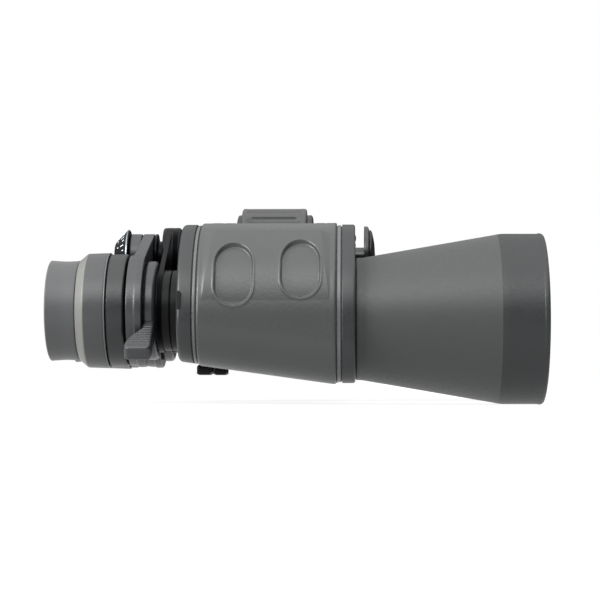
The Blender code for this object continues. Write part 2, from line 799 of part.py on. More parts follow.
def make_zoom_ring(side):
    ring = (
        (-45.4, SPIGOT_R - 0.3), (-45.7, SPIGOT_R), (-50.7, SPIGOT_R), (-50.8, 18.3),
        (-51.3, 18.8), (-54.5, 18.8), (-54.9, 18.4),
    )
    bore = ((-54.9, 14.3), (-45.4, 14.3))
    axis = ocular_axis(side)
    obj = turned(
        f"{side}_zoom_ring", ring, bore, axis, "cover_plastic", f"{side}_zoom_ring"
    )
    if side == "left":
        return
    radial = Vector((0.0, -math.cos(LEVER_TILT), -math.sin(LEVER_TILT)))
    frame = frame_of((0.0, axis[0], axis[1]), radial, Vector((1, 0, 0)))
    lever = plate_mesh("zoom_lever", (lever_outline(),), -LEVER_THICK / 2, LEVER_THICK / 2)
    combine(obj, add_cutter("zoom_lever", lever, frame), "UNION")


def make_zoom_band(side):
    """A thin steel band round the zoom ring's spigot and the drum on the hinge shaft."""
    ocular = (SIDES[side] * OCULAR_U, OCULAR_Z - HINGE_Z)
    outlines = [
        teardrop(ocular, SPIGOT_R + lift, (0.0, 0.0), DRUM_GROOVE_R + lift, 16, 12)
        for lift in (BAND_GAP + BAND_THICK, BAND_GAP)
    ]
    name = f"{side}_zoom_band"
    mesh = plate_mesh(name, outlines, *BAND_SPAN[side])
    add_piece(name, mesh, axial_frame(0.0, HINGE_Z), "spring_steel", bridge_body(side))


def make_collar(side):
    """The turning dioptre ring on the right, and the plain ring that matches it on the left."""
    front = -62.1 if side == "right" else ARM_HUB_SPAN["left"][0] - 0.4
    ring = ((front, 20.9), (front - 0.6, 21.5), (-68.4, 21.5), (-68.9, 21.0))
    bore = ((-68.9, 16.3), (front, 16.3))
    name, body = ("dioptre_ring", "dioptre_ring") if side == "right" else ("left_collar_ring", "focus_bridge")
    turned(name, ring, bore, ocular_axis(side), "cover_plastic", body, WIDE)


def make_eyepiece_head(side):
    axis = ocular_axis(side)
    body = "focus_bridge" if side == "left" else "right_eyepiece_head"
    head = (
        (-62.4, 12.2), (-69.2, 12.2), (-69.2, 21.6), (-69.6, 22.0), (-77.3, 21.7),
        (-80.2, 19.3), (-80.2, 16.6), (-86.2, 16.6),
    )
    bore = ((-86.2, 12.3), (-78.4, 12.3), (-78.4, 10.6), (-62.4, 10.6))
    turned(f"{side}_eyepiece_head", head, bore, axis, "armour_rubber", body, WIDE)
    cup = (
        (-80.5, 18.9), (-81.0, 19.1), (-91.3, 19.2), (-92.0, 18.6),
    )
    hollow = ((-92.0, 17.6), (-87.4, 16.6), (-87.4, 13.6), (-86.5, 13.6), (-86.5, 16.9), (-80.5, 16.9))
    turned(f"{side}_eyecup", cup, hollow, axis, "eyecup_rubber", body, WIDE)
    lens = lens_profile(-78.8, 1.4, -85.4, 1.6, 12.0)
    turned(f"{side}_eye_lens", lens, (), axis, "optical_glass", body, SMALL)


def make_zoom_optics(side):
    axis = ocular_axis(side)
    body = f"{side}_zoom_cell"
    cell = ((-51.0, 12.3), (-59.5, 12.3))
    bore = ((-59.5, 10.9), (-53.4, 10.9), (-53.4, 9.2), (-51.0, 9.2))
    turned(f"{side}_zoom_cell", cell, bore, axis, "lens_cell_black", body, SMALL)
    lens = lens_profile(-53.7, 1.2, -59.2, 1.6, 10.6)
    turned(f"{side}_zoom_lens", lens, (), axis, "optical_glass", body, SMALL)


def make_eyepiece(side):
    make_arm(side)
    make_ocular_tube(side)
    make_zoom_ring(side)
    make_zoom_band(side)
    make_collar(side)
    make_eyepiece_head(side)
    make_zoom_optics(side)


clear_scene()
parts = new_collection("zoom_binoculars")
cutters = new_collection("cutters")
materials = {name: make_material(name, *values) for name, values in FINISHES.items()}
pivots = {body: make_pivot(body, *place) for body, place in PIVOTS.items()}
for each_side in SIDES:
    make_barrel(each_side)
    make_eyepiece(each_side)
make_hinge()
make_focus_drive()
make_bridge_stack()
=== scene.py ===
"""Looks of the zoom binoculars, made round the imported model: every surface that shows is made here.

Lengths in this file are millimetres unless a comment says metres; MM turns them to metres. A turned
piece is a half section of (x, radius, corner rounding) points about an axis that runs along X.
"""
import math

import bmesh
import bpy
from mathutils import Matrix, Vector


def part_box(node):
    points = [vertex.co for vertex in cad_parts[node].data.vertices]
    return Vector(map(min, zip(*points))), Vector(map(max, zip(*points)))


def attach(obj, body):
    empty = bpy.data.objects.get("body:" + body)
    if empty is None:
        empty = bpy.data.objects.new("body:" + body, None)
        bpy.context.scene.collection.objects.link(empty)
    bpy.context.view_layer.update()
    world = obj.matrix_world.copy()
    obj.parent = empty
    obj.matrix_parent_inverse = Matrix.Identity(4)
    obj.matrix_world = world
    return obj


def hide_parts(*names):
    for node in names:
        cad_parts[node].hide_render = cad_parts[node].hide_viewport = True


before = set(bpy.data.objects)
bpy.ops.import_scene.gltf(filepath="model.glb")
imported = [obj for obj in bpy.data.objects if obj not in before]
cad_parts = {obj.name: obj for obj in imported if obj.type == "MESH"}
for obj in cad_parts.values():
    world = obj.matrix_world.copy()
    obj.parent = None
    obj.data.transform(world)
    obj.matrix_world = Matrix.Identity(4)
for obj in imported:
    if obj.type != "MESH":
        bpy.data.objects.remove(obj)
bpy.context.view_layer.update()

MM = 0.001
SIDES = {"left": 1, "right": -1}


def middle_of(node):
    """The (y, z) middle of a turned node, in millimetres: the axis that it is turned about."""
    low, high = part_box(node)
    return ((low.y + high.y) / 2 / MM, (low.z + high.z) / 2 / MM)


def span_of(node):
    """The lowest and highest x of a node, in millimetres."""
    low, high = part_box(node)
    return low.x / MM, high.x / MM


HINGE = middle_of("tripod_socket_cap")
OCULAR = {side: middle_of(f"{side}_eyecup") for side in SIDES}
OBJECTIVE = {side: middle_of(f"{side}_objective_barrel") for side in SIDES}
BODY_REAR, BODY_FRONT = span_of("left_armour")
COVER_REAR = span_of("left_rear_cover")[0]
COVER_FRONT = span_of("left_front_cover")[1]

FINE = 144
ROUND = 96
SMALL = 64


# ---------------------------------------------------------------- materials


def hex_colour(code):
    """An sRGB hex value as linear RGBA."""
    channels = [int(code[i : i + 2], 16) / 255 for i in (0, 2, 4)]
    linear = [c / 12.92 if c <= 0.04045 else ((c + 0.055) / 1.055) ** 2.4 for c in channels]
    return (*linear, 1.0)


def add_node(tree, kind, settings=None, inputs=None, links=None):
    """Adds a node: settings are properties, inputs socket values and links the sockets' sources."""
    made = tree.nodes.new(kind)
    for key, value in (settings or {}).items():
        setattr(made, key, value)
    for key, value in (inputs or {}).items():
        made.inputs[key].default_value = value
    for key, source in (links or {}).items():
        tree.links.new(source, made.inputs[key])
    return made


def new_material(name):
    made = bpy.data.materials.new(name)
    made.use_nodes = True
    tree = made.node_tree
    return made, tree, tree.nodes["Principled BSDF"]


def moulded(name, colour, dark, roughness, grain_mm, grain_depth, sheen=0.0, specular=0.5):
    """A moulded surface: grain of a real size, slow mottling, dust specks, and gloss that varies."""
    made, tree, shader = new_material(name)
    place = add_node(tree, "ShaderNodeTexCoord").outputs["Object"]
    # Noise cells are about half of 1/scale across, so scale is half of 1/grain in metres.
    grain = add_node(
        tree, "ShaderNodeTexNoise",
        inputs={"Scale": 0.5 / (grain_mm * MM), "Detail": 3.0, "Roughness": 0.55},
        links={"Vector": place},
    )
    mottle = add_node(
        tree, "ShaderNodeTexNoise",
        inputs={"Scale": 38.0, "Detail": 4.0, "Roughness": 0.6},
        links={"Vector": place},
    )
    speck = add_node(
        tree, "ShaderNodeTexVoronoi",
        inputs={"Scale": 900.0, "Randomness": 1.0},
        links={"Vector": place},
    )
    dust = add_node(
        tree, "ShaderNodeMapRange",
        inputs={"From Min": 0.03, "From Max": 0.1, "To Min": 1.0, "To Max": 0.0},
        links={"Value": speck.outputs["Distance"]},
    )
    shade = add_node(
        tree, "ShaderNodeMix",
        settings={"data_type": "RGBA"},
        inputs={"A": hex_colour(dark), "B": hex_colour(colour)},
        links={"Factor": mottle.outputs["Fac"]},
    )
    pale = [min(1.0, c * 1.5 + 0.02) for c in hex_colour(colour)[:3]]
    dusted = add_node(
        tree, "ShaderNodeMix",
        settings={"data_type": "RGBA"},
        inputs={"B": (*pale, 1.0)},
        links={"A": shade.outputs["Result"]},
    )
    faint = add_node(
        tree, "ShaderNodeMath",
        settings={"operation": "MULTIPLY"},
        inputs={1: 0.12},
        links={0: dust.outputs["Result"]},
    )
    tree.links.new(faint.outputs["Value"], dusted.inputs["Factor"])
    tree.links.new(dusted.outputs["Result"], shader.inputs["Base Color"])
    gloss = add_node(
        tree, "ShaderNodeMapRange",
        inputs={
            "From Min": 0.3, "From Max": 0.7, "To Min": roughness - 0.06, "To Max": roughness + 0.06,
        },
        links={"Value": grain.outputs["Fac"]},
    )
    tree.links.new(gloss.outputs["Result"], shader.inputs["Roughness"])
    bump = add_node(
        tree, "ShaderNodeBump",
        inputs={"Strength": 0.55, "Distance": grain_depth * MM},
        links={"Height": grain.outputs["Fac"]},
    )
    tree.links.new(bump.outputs["Normal"], shader.inputs["Normal"])
    shader.inputs["IOR"].default_value = 1.5
    shader.inputs["Specular IOR Level"].default_value = specular
    shader.inputs["Sheen Weight"].default_value = sheen
    shader.inputs["Sheen Roughness"].default_value = 0.5
    return made


def metal(name, colour, roughness, streak_mm):
    """Worked metal: fine tool marks as thin streaks, in colour, gloss and height."""
    made, tree, shader = new_material(name)
    place = add_node(tree, "ShaderNodeTexCoord").outputs["Object"]
    stretch = add_node(
        tree, "ShaderNodeMapping",
        inputs={"Scale": (1.0 / (streak_mm * MM), 60.0, 60.0)},
        links={"Vector": place},
    )
    marks = add_node(
        tree, "ShaderNodeTexNoise",
        inputs={"Scale": 1.0, "Detail": 2.0},
        links={"Vector": stretch.outputs["Vector"]},
    )
    worn = (*(0.75 * c for c in hex_colour(colour)[:3]), 1.0)
    tone = add_node(
        tree, "ShaderNodeMix",
        settings={"data_type": "RGBA"},
        inputs={"A": worn, "B": hex_colour(colour)},
        links={"Factor": marks.outputs["Fac"]},
    )
    tree.links.new(tone.outputs["Result"], shader.inputs["Base Color"])
    gloss = add_node(
        tree, "ShaderNodeMapRange",
        inputs={
            "From Min": 0.3, "From Max": 0.7, "To Min": roughness - 0.05, "To Max": roughness + 0.08,
        },
        links={"Value": marks.outputs["Fac"]},
    )
    tree.links.new(gloss.outputs["Result"], shader.inputs["Roughness"])
    bump = add_node(
        tree, "ShaderNodeBump",
        inputs={"Strength": 0.3, "Distance": 0.02 * MM},
        links={"Height": marks.outputs["Fac"]},
    )
    tree.links.new(bump.outputs["Normal"], shader.inputs["Normal"])
    shader.inputs["Metallic"].default_value = 1.0
    return made


def coated_glass(name, tint, film_nm):
    """Polished glass, faintly smeared, with an anti-reflection film that colours reflections."""
    made, tree, shader = new_material(name)
    place = add_node(tree, "ShaderNodeTexCoord").outputs["Object"]
    smear = add_node(
        tree, "ShaderNodeTexNoise",
        inputs={"Scale": 45.0, "Detail": 5.0, "Roughness": 0.7},
        links={"Vector": place},
    )
    gloss = add_node(
        tree, "ShaderNodeMapRange",
        inputs={"From Min": 0.45, "From Max": 0.8, "To Min": 0.0, "To Max": 0.02},
        links={"Value": smear.outputs["Fac"]},
    )
    tree.links.new(gloss.outputs["Result"], shader.inputs["Roughness"])
    shader.inputs["Base Color"].default_value = hex_colour(tint)
    shader.inputs["Transmission Weight"].default_value = 1.0
    shader.inputs["IOR"].default_value = 1.52
    shader.inputs["Thin Film Thickness"].default_value = film_nm
    shader.inputs["Thin Film IOR"].default_value = 1.38
    return made


MATERIALS = (
    # Thermoplastic-rubber armour, moulded in a spark-eroded tool: satin grey with a fine grain.
    moulded("rubber_armour", "2a2d2c", "252827", 0.37, 0.5, 0.1, sheen=0.05),
    # The same rubber, on the long cone, where it is a little smoother.
    moulded("barrel_armour", "232625", "1f2221", 0.48, 0.5, 0.07, sheen=0.05),
    # Glass-filled nylon covers: darker and tighter grained than the rubber.
    moulded("nylon_cover", "151718", "121415", 0.38, 0.45, 0.05, specular=0.44),
    # The housing's own nylon, which shows only as the flanges between armour and covers.
    moulded("nylon_housing", "484a4b", "404243", 0.3, 0.35, 0.02),
    # Semi-gloss black stove enamel on turned aluminium.
    moulded("black_enamel", "08090a", "060708", 0.42, 0.35, 0.012, specular=0.14),
    # Soft silicone rubber of the eyecups: dead matt.
    moulded("eyecup_silicone", "353637", "2f3031", 0.48, 0.5, 0.06, sheen=0.1),
    # Ribbed natural rubber on the focusing wheel.
    moulded("grip_rubber", "262727", "222323", 0.42, 0.45, 0.08, sheen=0.05),
    # Grey nylon of the zoom lever and bridge arms, with a soft gloss.
    moulded("nylon_arm", "232427", "1f2023", 0.34, 0.35, 0.025),
    # Smooth rubber of the eyepiece heads, a shade lighter than the barrels.
    moulded("head_rubber", "2b2c2d", "262728", 0.4, 0.5, 0.06, sheen=0.05),
    # The hood's band is moulded from a harder, darker rubber.
    moulded("hood_rubber", "16191a", "131617", 0.42, 0.5, 0.06, specular=0.4),
    # Pale paint for painted highlights: on the heads' sloping shoulders and on the eyecups' rolled
    # rims.
    moulded("painted_highlight", "60605c", "595956", 0.36, 0.4, 0.02),
    # Black oxide on the socket boss.
    metal("black_oxide", "17181b", 0.36, 0.1),
    # The ribs of the thumb lever, worn a little shinier than its sides.
    moulded("lever_ribs", "3a3b3d", "363739", 0.3, 0.35, 0.02),
    # Matt black anodising inside the tubes, to kill stray light; the same black is also painted shade
    # in the screws' cross recesses and the rear covers' slots.
    moulded("black_anodised_and_shade", "0e0e10", "08080a", 0.7, 0.1, 0.01, specular=0.25),
    # Dark rubber pockets and seals.
    moulded("seal_rubber", "1d1e20", "151618", 0.6, 0.15, 0.02),
    # Ivory printing ink on the scale.
    moulded("white_ink", "dfe3e6", "c9ced2", 0.5, 0.12, 0.01),
    # Zinc-plated cross-recess screws, blackened.
    metal("screw_steel", "3a3b3e", 0.35, 0.1),
    # Gloss black enamel of the socket cap.
    moulded("cap_enamel", "101216", "0c0e11", 0.22, 0.4, 0.01),
    # Rolled spring strip.
    metal("spring_steel", "9da1a6", 0.28, 0.06),
    # Blued steel strip of the zoom bands: nearly black, oiled.
    metal("blued_steel", "08090b", 0.45, 0.06),
    # Turned steel of the shaft, socket and washers.
    metal("turned_steel", "85888d", 0.25, 0.09),
    # Turned brass of the focusing nut.
    metal("brass", "b08e54", 0.26, 0.09),
    # Multi-coated glass.
    coated_glass("objective_glass", "f2fbf6", 480.0),
    coated_glass("eyepiece_glass", "f6f4fb", 380.0),
    coated_glass("prism_glass", "f4f8f4", 100.0),
)
# Blender adds .001 to a name that the frame already uses.
PAINTS = {made.name.split(".")[0]: made for made in MATERIALS}


# ---------------------------------------------------------------- making pieces


def finish_piece(name, bm, paint, body, nodes=(), crease=32.0):
    """Turns a bmesh in millimetres into a finished piece on its body."""
    bmesh.ops.remove_doubles(bm, verts=bm.verts, dist=0.0005)
    bmesh.ops.recalc_face_normals(bm, faces=bm.faces)
    bmesh.ops.scale(bm, verts=bm.verts, vec=(MM, MM, MM))
    mesh = bpy.data.meshes.new(name)
    bm.to_mesh(mesh)
    bm.free()
    mesh.materials.append(PAINTS[paint])
    mesh.shade_smooth()
    mesh.set_sharp_from_angle(angle=math.radians(crease))
    obj = bpy.data.objects.new(name, mesh)
    bpy.context.scene.collection.objects.link(obj)
    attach(obj, body)
    if nodes:
        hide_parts(*nodes)
    return obj


def rounded(points, closed):
    """Replaces each corner that has a third value by a curve that starts that far from it."""
    found = []
    count = len(points)
    for i, (x, y, *more) in enumerate(points):
        corner = Vector((x, y))
        ends = not closed and i in (0, count - 1)
        if not more or ends:
            found.append(corner)
            continue
        before = Vector(points[i - 1][:2]) - corner
        after = Vector(points[(i + 1) % count][:2]) - corner
        reach = min(more[0], 0.49 * before.length, 0.49 * after.length)
        start = corner + before.normalized() * reach
        end = corner + after.normalized() * reach
        pieces = 6
        for k in range(pieces + 1):
            share = k / pieces
            found.append(
                start * (1 - share) ** 2 + corner * (2 * share * (1 - share)) + end * share**2
            )
    return found


def spin_into(bm, profile, axis, closed, steps):
    """Adds a turned shape about an axis along X. An open profile starts and ends on the axis."""
    outline = rounded(profile, closed)
    verts = [bm.verts.new((x, axis[0], axis[1] + radius)) for x, radius in outline]
    edges = [bm.edges.new(pair) for pair in zip(verts, verts[1:])]
    if closed:
        edges.append(bm.edges.new((verts[-1], verts[0])))
    bmesh.ops.spin(
        bm, geom=verts + edges, cent=(0.0, *axis), axis=(1.0, 0.0, 0.0), angle=math.tau,
        steps=steps, use_merge=True,
    )


def turned(name, profile, axis, paint, body, nodes=(), closed=True, steps=FINE):
    bm = bmesh.new()
    spin_into(bm, profile, axis, closed, steps)
    return finish_piece(name, bm, paint, body, nodes)


def first_ring(bm, points):
    ring = [bm.verts.new(point) for point in points]
    for near, far in zip(ring, ring[1:] + ring[:1]):
        bm.edges.new((near, far))
    return ring


def ring_edges(bm, ring):
    return [bm.edges.get(pair) for pair in zip(ring, ring[1:] + ring[:1])]


def grow(bm, ring, points):
    """Extrudes a ring of edges and puts each new vertex on its point."""
    made = bmesh.ops.extrude_edge_only(bm, edges=ring_edges(bm, ring))["geom"]
    fresh = {item for item in made if isinstance(item, bmesh.types.BMVert)}
    following = []
    for vert, point in zip(ring, points):
        twin = next(
            other for other in (edge.other_vert(vert) for edge in vert.link_edges) if other in fresh
        )
        twin.co = point
        following.append(twin)
    return following


def skin(bm, rings, holes=(), looped=False):
    """A skin through rings; its ends are closed round the holes, or joined to each other if looped.

    A hole is the pair of its rings at the first and the last end.
    """
    start = first_ring(bm, rings[0])
    end = start
    for points in rings[1:]:
        end = grow(bm, end, points)
    if looped:
        bmesh.ops.bridge_loops(bm, edges=ring_edges(bm, start) + ring_edges(bm, end))
        return
    near_edges = ring_edges(bm, start)
    far_edges = ring_edges(bm, end)
    for near, far in holes:
        mouth = first_ring(bm, near)
        exit_ring = grow(bm, mouth, far)
        near_edges += ring_edges(bm, mouth)
        far_edges += ring_edges(bm, exit_ring)
    for edges in (near_edges, far_edges):
        bmesh.ops.triangle_fill(bm, use_beauty=True, use_dissolve=False, edges=edges)


def arc(centre, radius, start, stop, count):
    spread = [start + (stop - start) * i / count for i in range(count + 1)]
    return [(centre[0] + radius * math.cos(a), centre[1] + radius * math.sin(a)) for a in spread]


def circle_at(x, centre, radius, count):
    return [(x, y, z) for y, z in arc(centre, radius, 0.0, math.tau, count)[:-1]]


def teardrop_at(x, first, first_r, second, second_r, counts=(96, 48)):
    """The outline round two circles and their outer tangents, in the plane at x."""
    run = Vector(second) - Vector(first)
    bearing = math.atan2(run.y, run.x)
    lean = math.acos((first_r - second_r) / run.length)
    around_first = arc(first, first_r, bearing + lean, bearing + math.tau - lean, counts[0])
    around_second = arc(second, second_r, bearing - lean, bearing + lean, counts[1])
    return [(x, y, z) for y, z in around_first + around_second]


def slab_into(bm, outline, low, high, place, soft=0.0, segments=3):
    """A flat outline in local XY drawn out from low to high, its edges softened, then put in place."""
    part = bmesh.new()
    base = part.faces.new([part.verts.new((x, y, low)) for x, y in outline])
    grown = bmesh.ops.extrude_face_region(part, geom=[base])["geom"]
    top = [item for item in grown if isinstance(item, bmesh.types.BMVert)]
    bmesh.ops.translate(part, verts=top, vec=(0.0, 0.0, high - low))
    bmesh.ops.recalc_face_normals(part, faces=part.faces)
    if soft:
        sharp = [edge for edge in part.edges if edge.calc_face_angle(0.0) > math.radians(40)]
        bmesh.ops.bevel(
            part, geom=sharp, offset=soft, segments=segments, profile=0.5, affect="EDGES", material=-1
        )
    bmesh.ops.transform(part, matrix=place, verts=part.verts)
    absorb(bm, part)


def absorb(bm, part):
    """Moves everything in one bmesh into another."""
    carrier = bpy.data.meshes.new("carrier")
    part.to_mesh(carrier)
    part.free()
    bm.from_mesh(carrier)
    bpy.data.meshes.remove(carrier)


def place_of(origin, x_axis, y_axis):
    """A right-handed frame, in millimetres, from an origin and two unit axes."""
    across = Vector(x_axis)
    along = Vector(y_axis)
    turn = Matrix((across, along, across.cross(along))).transposed().to_4x4()
    return Matrix.Translation(Vector(origin)) @ turn


def smooth(share):
    share = min(1.0, max(0.0, share))
    return share * share * (3 - 2 * share)


# ---------------------------------------------------------------- prism housings

TOP_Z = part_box("left_armour")[1].z / MM
OUTER_U = 89.0
FLOOR_REAR = 14.1
FLOOR_FRONT = 7.3
FLANGE_INSET = 0.8
COVER_INSET = 0.5
ARMOUR_WALL = 1.6
LUG_R = 13.3

PAD_HEIGHT = 1.8
PAD_LOW_Z = 37.0
PAD_HIGH_Z = 61.3
PAD_REAR = -30.2
PAD_FRONT = 15.0
PAD_FACET = 3.4
RECESS_DEPTH = 1.35
RECESS_WALL = 0.62
# Centre x, centre z, width, height.
RECESSES = ((-19.0, 45.9, 13.5, 21.4), (4.7, 47.8, 13.9, 19.8))


def floor_at(x):
    """Height of the housing's underside, which falls towards the front."""
    share = (min(x, BODY_FRONT) - BODY_REAR) / (BODY_FRONT - BODY_REAR)
    return FLOOR_REAR + share * (FLOOR_FRONT - FLOOR_REAR)


def section_at(x, fine):
    """(point, outward normal) round the housing section at x, as (u, z) vectors, dense on the flank."""
    corners = (
        (21.9, TOP_Z, 6.0), (OUTER_U, TOP_Z, 36.0), (OUTER_U, floor_at(x), 16.0),
        (31.0, floor_at(x), 10.0), (13.2, 27.0, 7.0), (13.2, 37.0, 9.0), (20.4, 50.0, -12.0),
    )
    arc_counts = (6, 200, 30, 10, 8, 8, 10) if fine else (6, 24, 18, 10, 8, 8, 10)
    run_counts = (20, 10, 20, 8, 4, 6, 6) if fine else (6, 6, 6, 4, 4, 4, 4)
    places = [Vector(corner[:2]) for corner in corners]
    found = []
    for i, (_, _, radius) in enumerate(corners):
        into = (places[i] - places[i - 1]).normalized()
        out = (places[(i + 1) % len(places)] - places[i]).normalized()
        first = Vector((-into.y, into.x))
        last = Vector((-out.y, out.x))
        centre = places[i] - (first + last) * radius / (1 + first.dot(last))
        turn = math.atan2(first.cross(last), first.dot(last))
        for k in range(arc_counts[i] + 1):
            normal = Matrix.Rotation(turn * k / arc_counts[i], 2) @ first
            found.append((centre + normal * radius, normal))
    # The straight runs between the arcs get points of their own.
    dense = []
    start = 0
    for i, steps in enumerate(run_counts):
        stop = start + arc_counts[i] + 1
        dense += found[start:stop]
        near, normal = found[stop - 1]
        far = found[stop % len(found)][0]
        dense += [(near.lerp(far, k / steps), normal) for k in range(1, steps)]
        start = stop
    return dense


def stadium_distance(x, z, recess):
    """Distance outside an upright slot shape, negative inside it."""
    centre_x, centre_z, width, height = recess
    reach = height / 2 - width / 2
    beyond = max(abs(z - centre_z) - reach, 0.0)
    return math.hypot(x - centre_x, beyond) - width / 2


def pad_lift(x, point):
    """How far the finger pad stands out of the flank, its two recesses taken away."""
    if point.x < OUTER_U / 2:
        return 0.0
    rise = (point.y - PAD_LOW_Z) / (PAD_HIGH_Z - PAD_LOW_Z)
    if point.y > PAD_HIGH_Z:
        rise = 1.0 - smooth((point.y - PAD_HIGH_Z) / 0.8)
    # The end facets slope evenly, so they narrow downwards as the pad thins out.
    run = min(x - PAD_REAR, PAD_FRONT - x) / PAD_FACET
    lift = PAD_HEIGHT * max(0.0, min(1.0, rise, run))
    for recess in RECESSES:
        inward = -stadium_distance(x, point.y, recess)
        lift -= RECESS_DEPTH * smooth((inward + 0.15) / RECESS_WALL)
        # The rubber swells into a slight lip round each recess.
        lift += 0.26 * math.exp(-(((inward + 0.42) / 0.36) ** 2))
    return lift


def housing_ring(side, x, inset, lifted=False, fine=True):
    placed = []
    for point, normal in section_at(x, fine):
        lift = pad_lift(x, point) if lifted else 0.0
        moved = point + normal * (lift - inset)
        placed.append((x, SIDES[side] * moved.x, moved.y))
    return placed


def end_stations(end, inward, soft):
    """(x, inset) stations of a quarter-round edge, from the end face to the full section."""
    count = 5
    found = []
    for k in range(count + 1):
        angle = math.pi / 2 * k / count
        found.append((end + inward * soft * (1 - math.cos(angle)), soft * (1 - math.sin(angle))))
    return found


def make_armour(side):
    soft = 0.9
    rear = end_stations(BODY_REAR, 1, soft)
    front = end_stations(BODY_FRONT, -1, soft)
    first, last = rear[-1][0], front[-1][0]
    count = 220
    middle = [(first + (last - first) * i / count, 0.0) for i in range(1, count)]
    rings = [housing_ring(side, BODY_REAR, ARMOUR_WALL)]
    rings += [housing_ring(side, x, inset, lifted=True) for x, inset in rear + middle + front[::-1]]
    rings.append(housing_ring(side, BODY_FRONT, ARMOUR_WALL))
    bm = bmesh.new()
    skin(bm, rings, looped=True)
    finish_piece(
        f"{side}_rubber_armour", bm, "rubber_armour", f"{side}_barrel",
        [f"{side}_armour"], crease=50.0,
    )


def make_housing(side):
    """The two flanges that show between the armour and the covers, and the tube that joins them."""
    body = f"{side}_barrel"
    inner = 3.9
    bm = bmesh.new()
    stations = [(BODY_REAR - 1.5, inner)]
    stations += [(x, FLANGE_INSET + inset) for x, inset in end_stations(BODY_REAR - 1.5, 1, 0.35)]
    stations += [
        (x, FLANGE_INSET + inset) for x, inset in end_stations(BODY_REAR - 0.3, -1, 0.35)[::-1]
    ]
    stations += [(BODY_REAR - 0.3, 1.9), (BODY_FRONT + 0.3, 1.9)]
    stations += [(x, FLANGE_INSET + inset) for x, inset in end_stations(BODY_FRONT + 0.3, 1, 0.35)]
    stations += [
        (x, FLANGE_INSET + inset) for x, inset in end_stations(BODY_FRONT + 1.8, -1, 0.35)[::-1]
    ]
    stations.append((BODY_FRONT + 1.8, inner))
    skin(bm, [housing_ring(side, x, inset, fine=False) for x, inset in stations], looped=True)
    finish_piece(
        f"{side}_housing_shell", bm, "nylon_housing", body, [f"{side}_prism_housing"]
    )


LUG_SPANS = {
    "left": ((-32.6, -27.9), (12.8, 17.0)),
    "right": ((-27.6, -22.9), (8.4, 12.5)),
}


def make_lugs(side):
    """The hinge lugs: each a ring round the hinge with a web into the housing."""
    sign = SIDES[side]
    low, high, reach = 50.0, 64.5, 24.0
    start = math.asin((high - HINGE[1]) / LUG_R)
    stop = math.tau + math.asin((low - HINGE[1]) / LUG_R)
    rim = arc((0.0, HINGE[1]), LUG_R, start, stop, 72)
    outline = [(sign * y, z) for y, z in rim + [(reach, low), (reach, high)]]
    for where, (rear, front) in zip(("rear", "front"), LUG_SPANS[side]):
        bm = bmesh.new()
        place = Matrix(((0, 0, 1, 0), (1, 0, 0, 0), (0, 1, 0, 0), (0, 0, 0, 1)))
        slab_into(bm, outline, rear, front, place, soft=0.5)
        finish_piece(
            f"{side}_{where}_hinge_lug", bm, "black_enamel", f"{side}_barrel",
            [f"{side}_prism_housing"],
        )


def make_rear_cover(side):
    bm = bmesh.new()
    mouth = BODY_REAR - 1.8
    stations = [(x, COVER_INSET + inset) for x, inset in end_stations(mouth, -1, 0.3)]
    stations += [(x, COVER_INSET + inset) for x, inset in end_stations(COVER_REAR, 1, 1.5)[::-1]]
    rings = [housing_ring(side, x, inset, fine=False) for x, inset in stations]
    bore = 15.7
    axis = OCULAR[side]
    hole = (circle_at(mouth, axis, bore, FINE), circle_at(COVER_REAR, axis, bore, FINE))
    skin(bm, rings, holes=[hole])
    finish_piece(
        f"{side}_rear_end_cover", bm, "nylon_cover", f"{side}_barrel",
        [f"{side}_rear_cover"],
    )
    # A raised lip round the eyepiece tube's mouth.
    lip = (
        (COVER_REAR + 0.4, bore), (COVER_REAR - 0.3, bore, 0.2), (COVER_REAR - 0.3, bore + 1.1, 0.25),
        (COVER_REAR + 0.4, bore + 1.4),
    )
    turned(f"{side}_tube_mouth_lip", lip, axis, "seal_rubber", f"{side}_barrel")


def make_front_cover(side):
    bm = bmesh.new()
    mouth = BODY_FRONT + 2.1
    stations = [(x, COVER_INSET + inset) for x, inset in end_stations(mouth, 1, 0.3)]
    stations += [(x, COVER_INSET + inset) for x, inset in end_stations(COVER_FRONT, -1, 0.9)[::-1]]
    rings = [housing_ring(side, x, inset, fine=False) for x, inset in stations]
    axis = OBJECTIVE[side]
    hole = (circle_at(mouth, axis, 20.3, FINE), circle_at(COVER_FRONT, axis, 20.3, FINE))
    skin(bm, rings, holes=[hole])
    finish_piece(
        f"{side}_front_end_cover", bm, "nylon_cover", f"{side}_barrel",
        [f"{side}_front_cover"],
    )


def make_gaskets(side):
    """The thin black seals between armour, flanges and covers."""
    seams = (
        ("rear_cover", BODY_REAR - 1.85, BODY_REAR - 1.45),
        ("rear_armour", BODY_REAR - 0.35, BODY_REAR + 0.05),
        ("front_armour", BODY_FRONT - 0.05, BODY_FRONT + 0.35),
        ("front_cover", BODY_FRONT + 1.75, BODY_FRONT + 2.15),
    )
    for label, rear, front in seams:
        bm = bmesh.new()
        stations = ((rear, 3.0), (rear, 1.25), (front, 1.25), (front, 3.0))
        skin(bm, [housing_ring(side, x, inset, fine=False) for x, inset in stations], looped=True)
        finish_piece(f"{side}_{label}_gasket", bm, "seal_rubber", f"{side}_barrel")


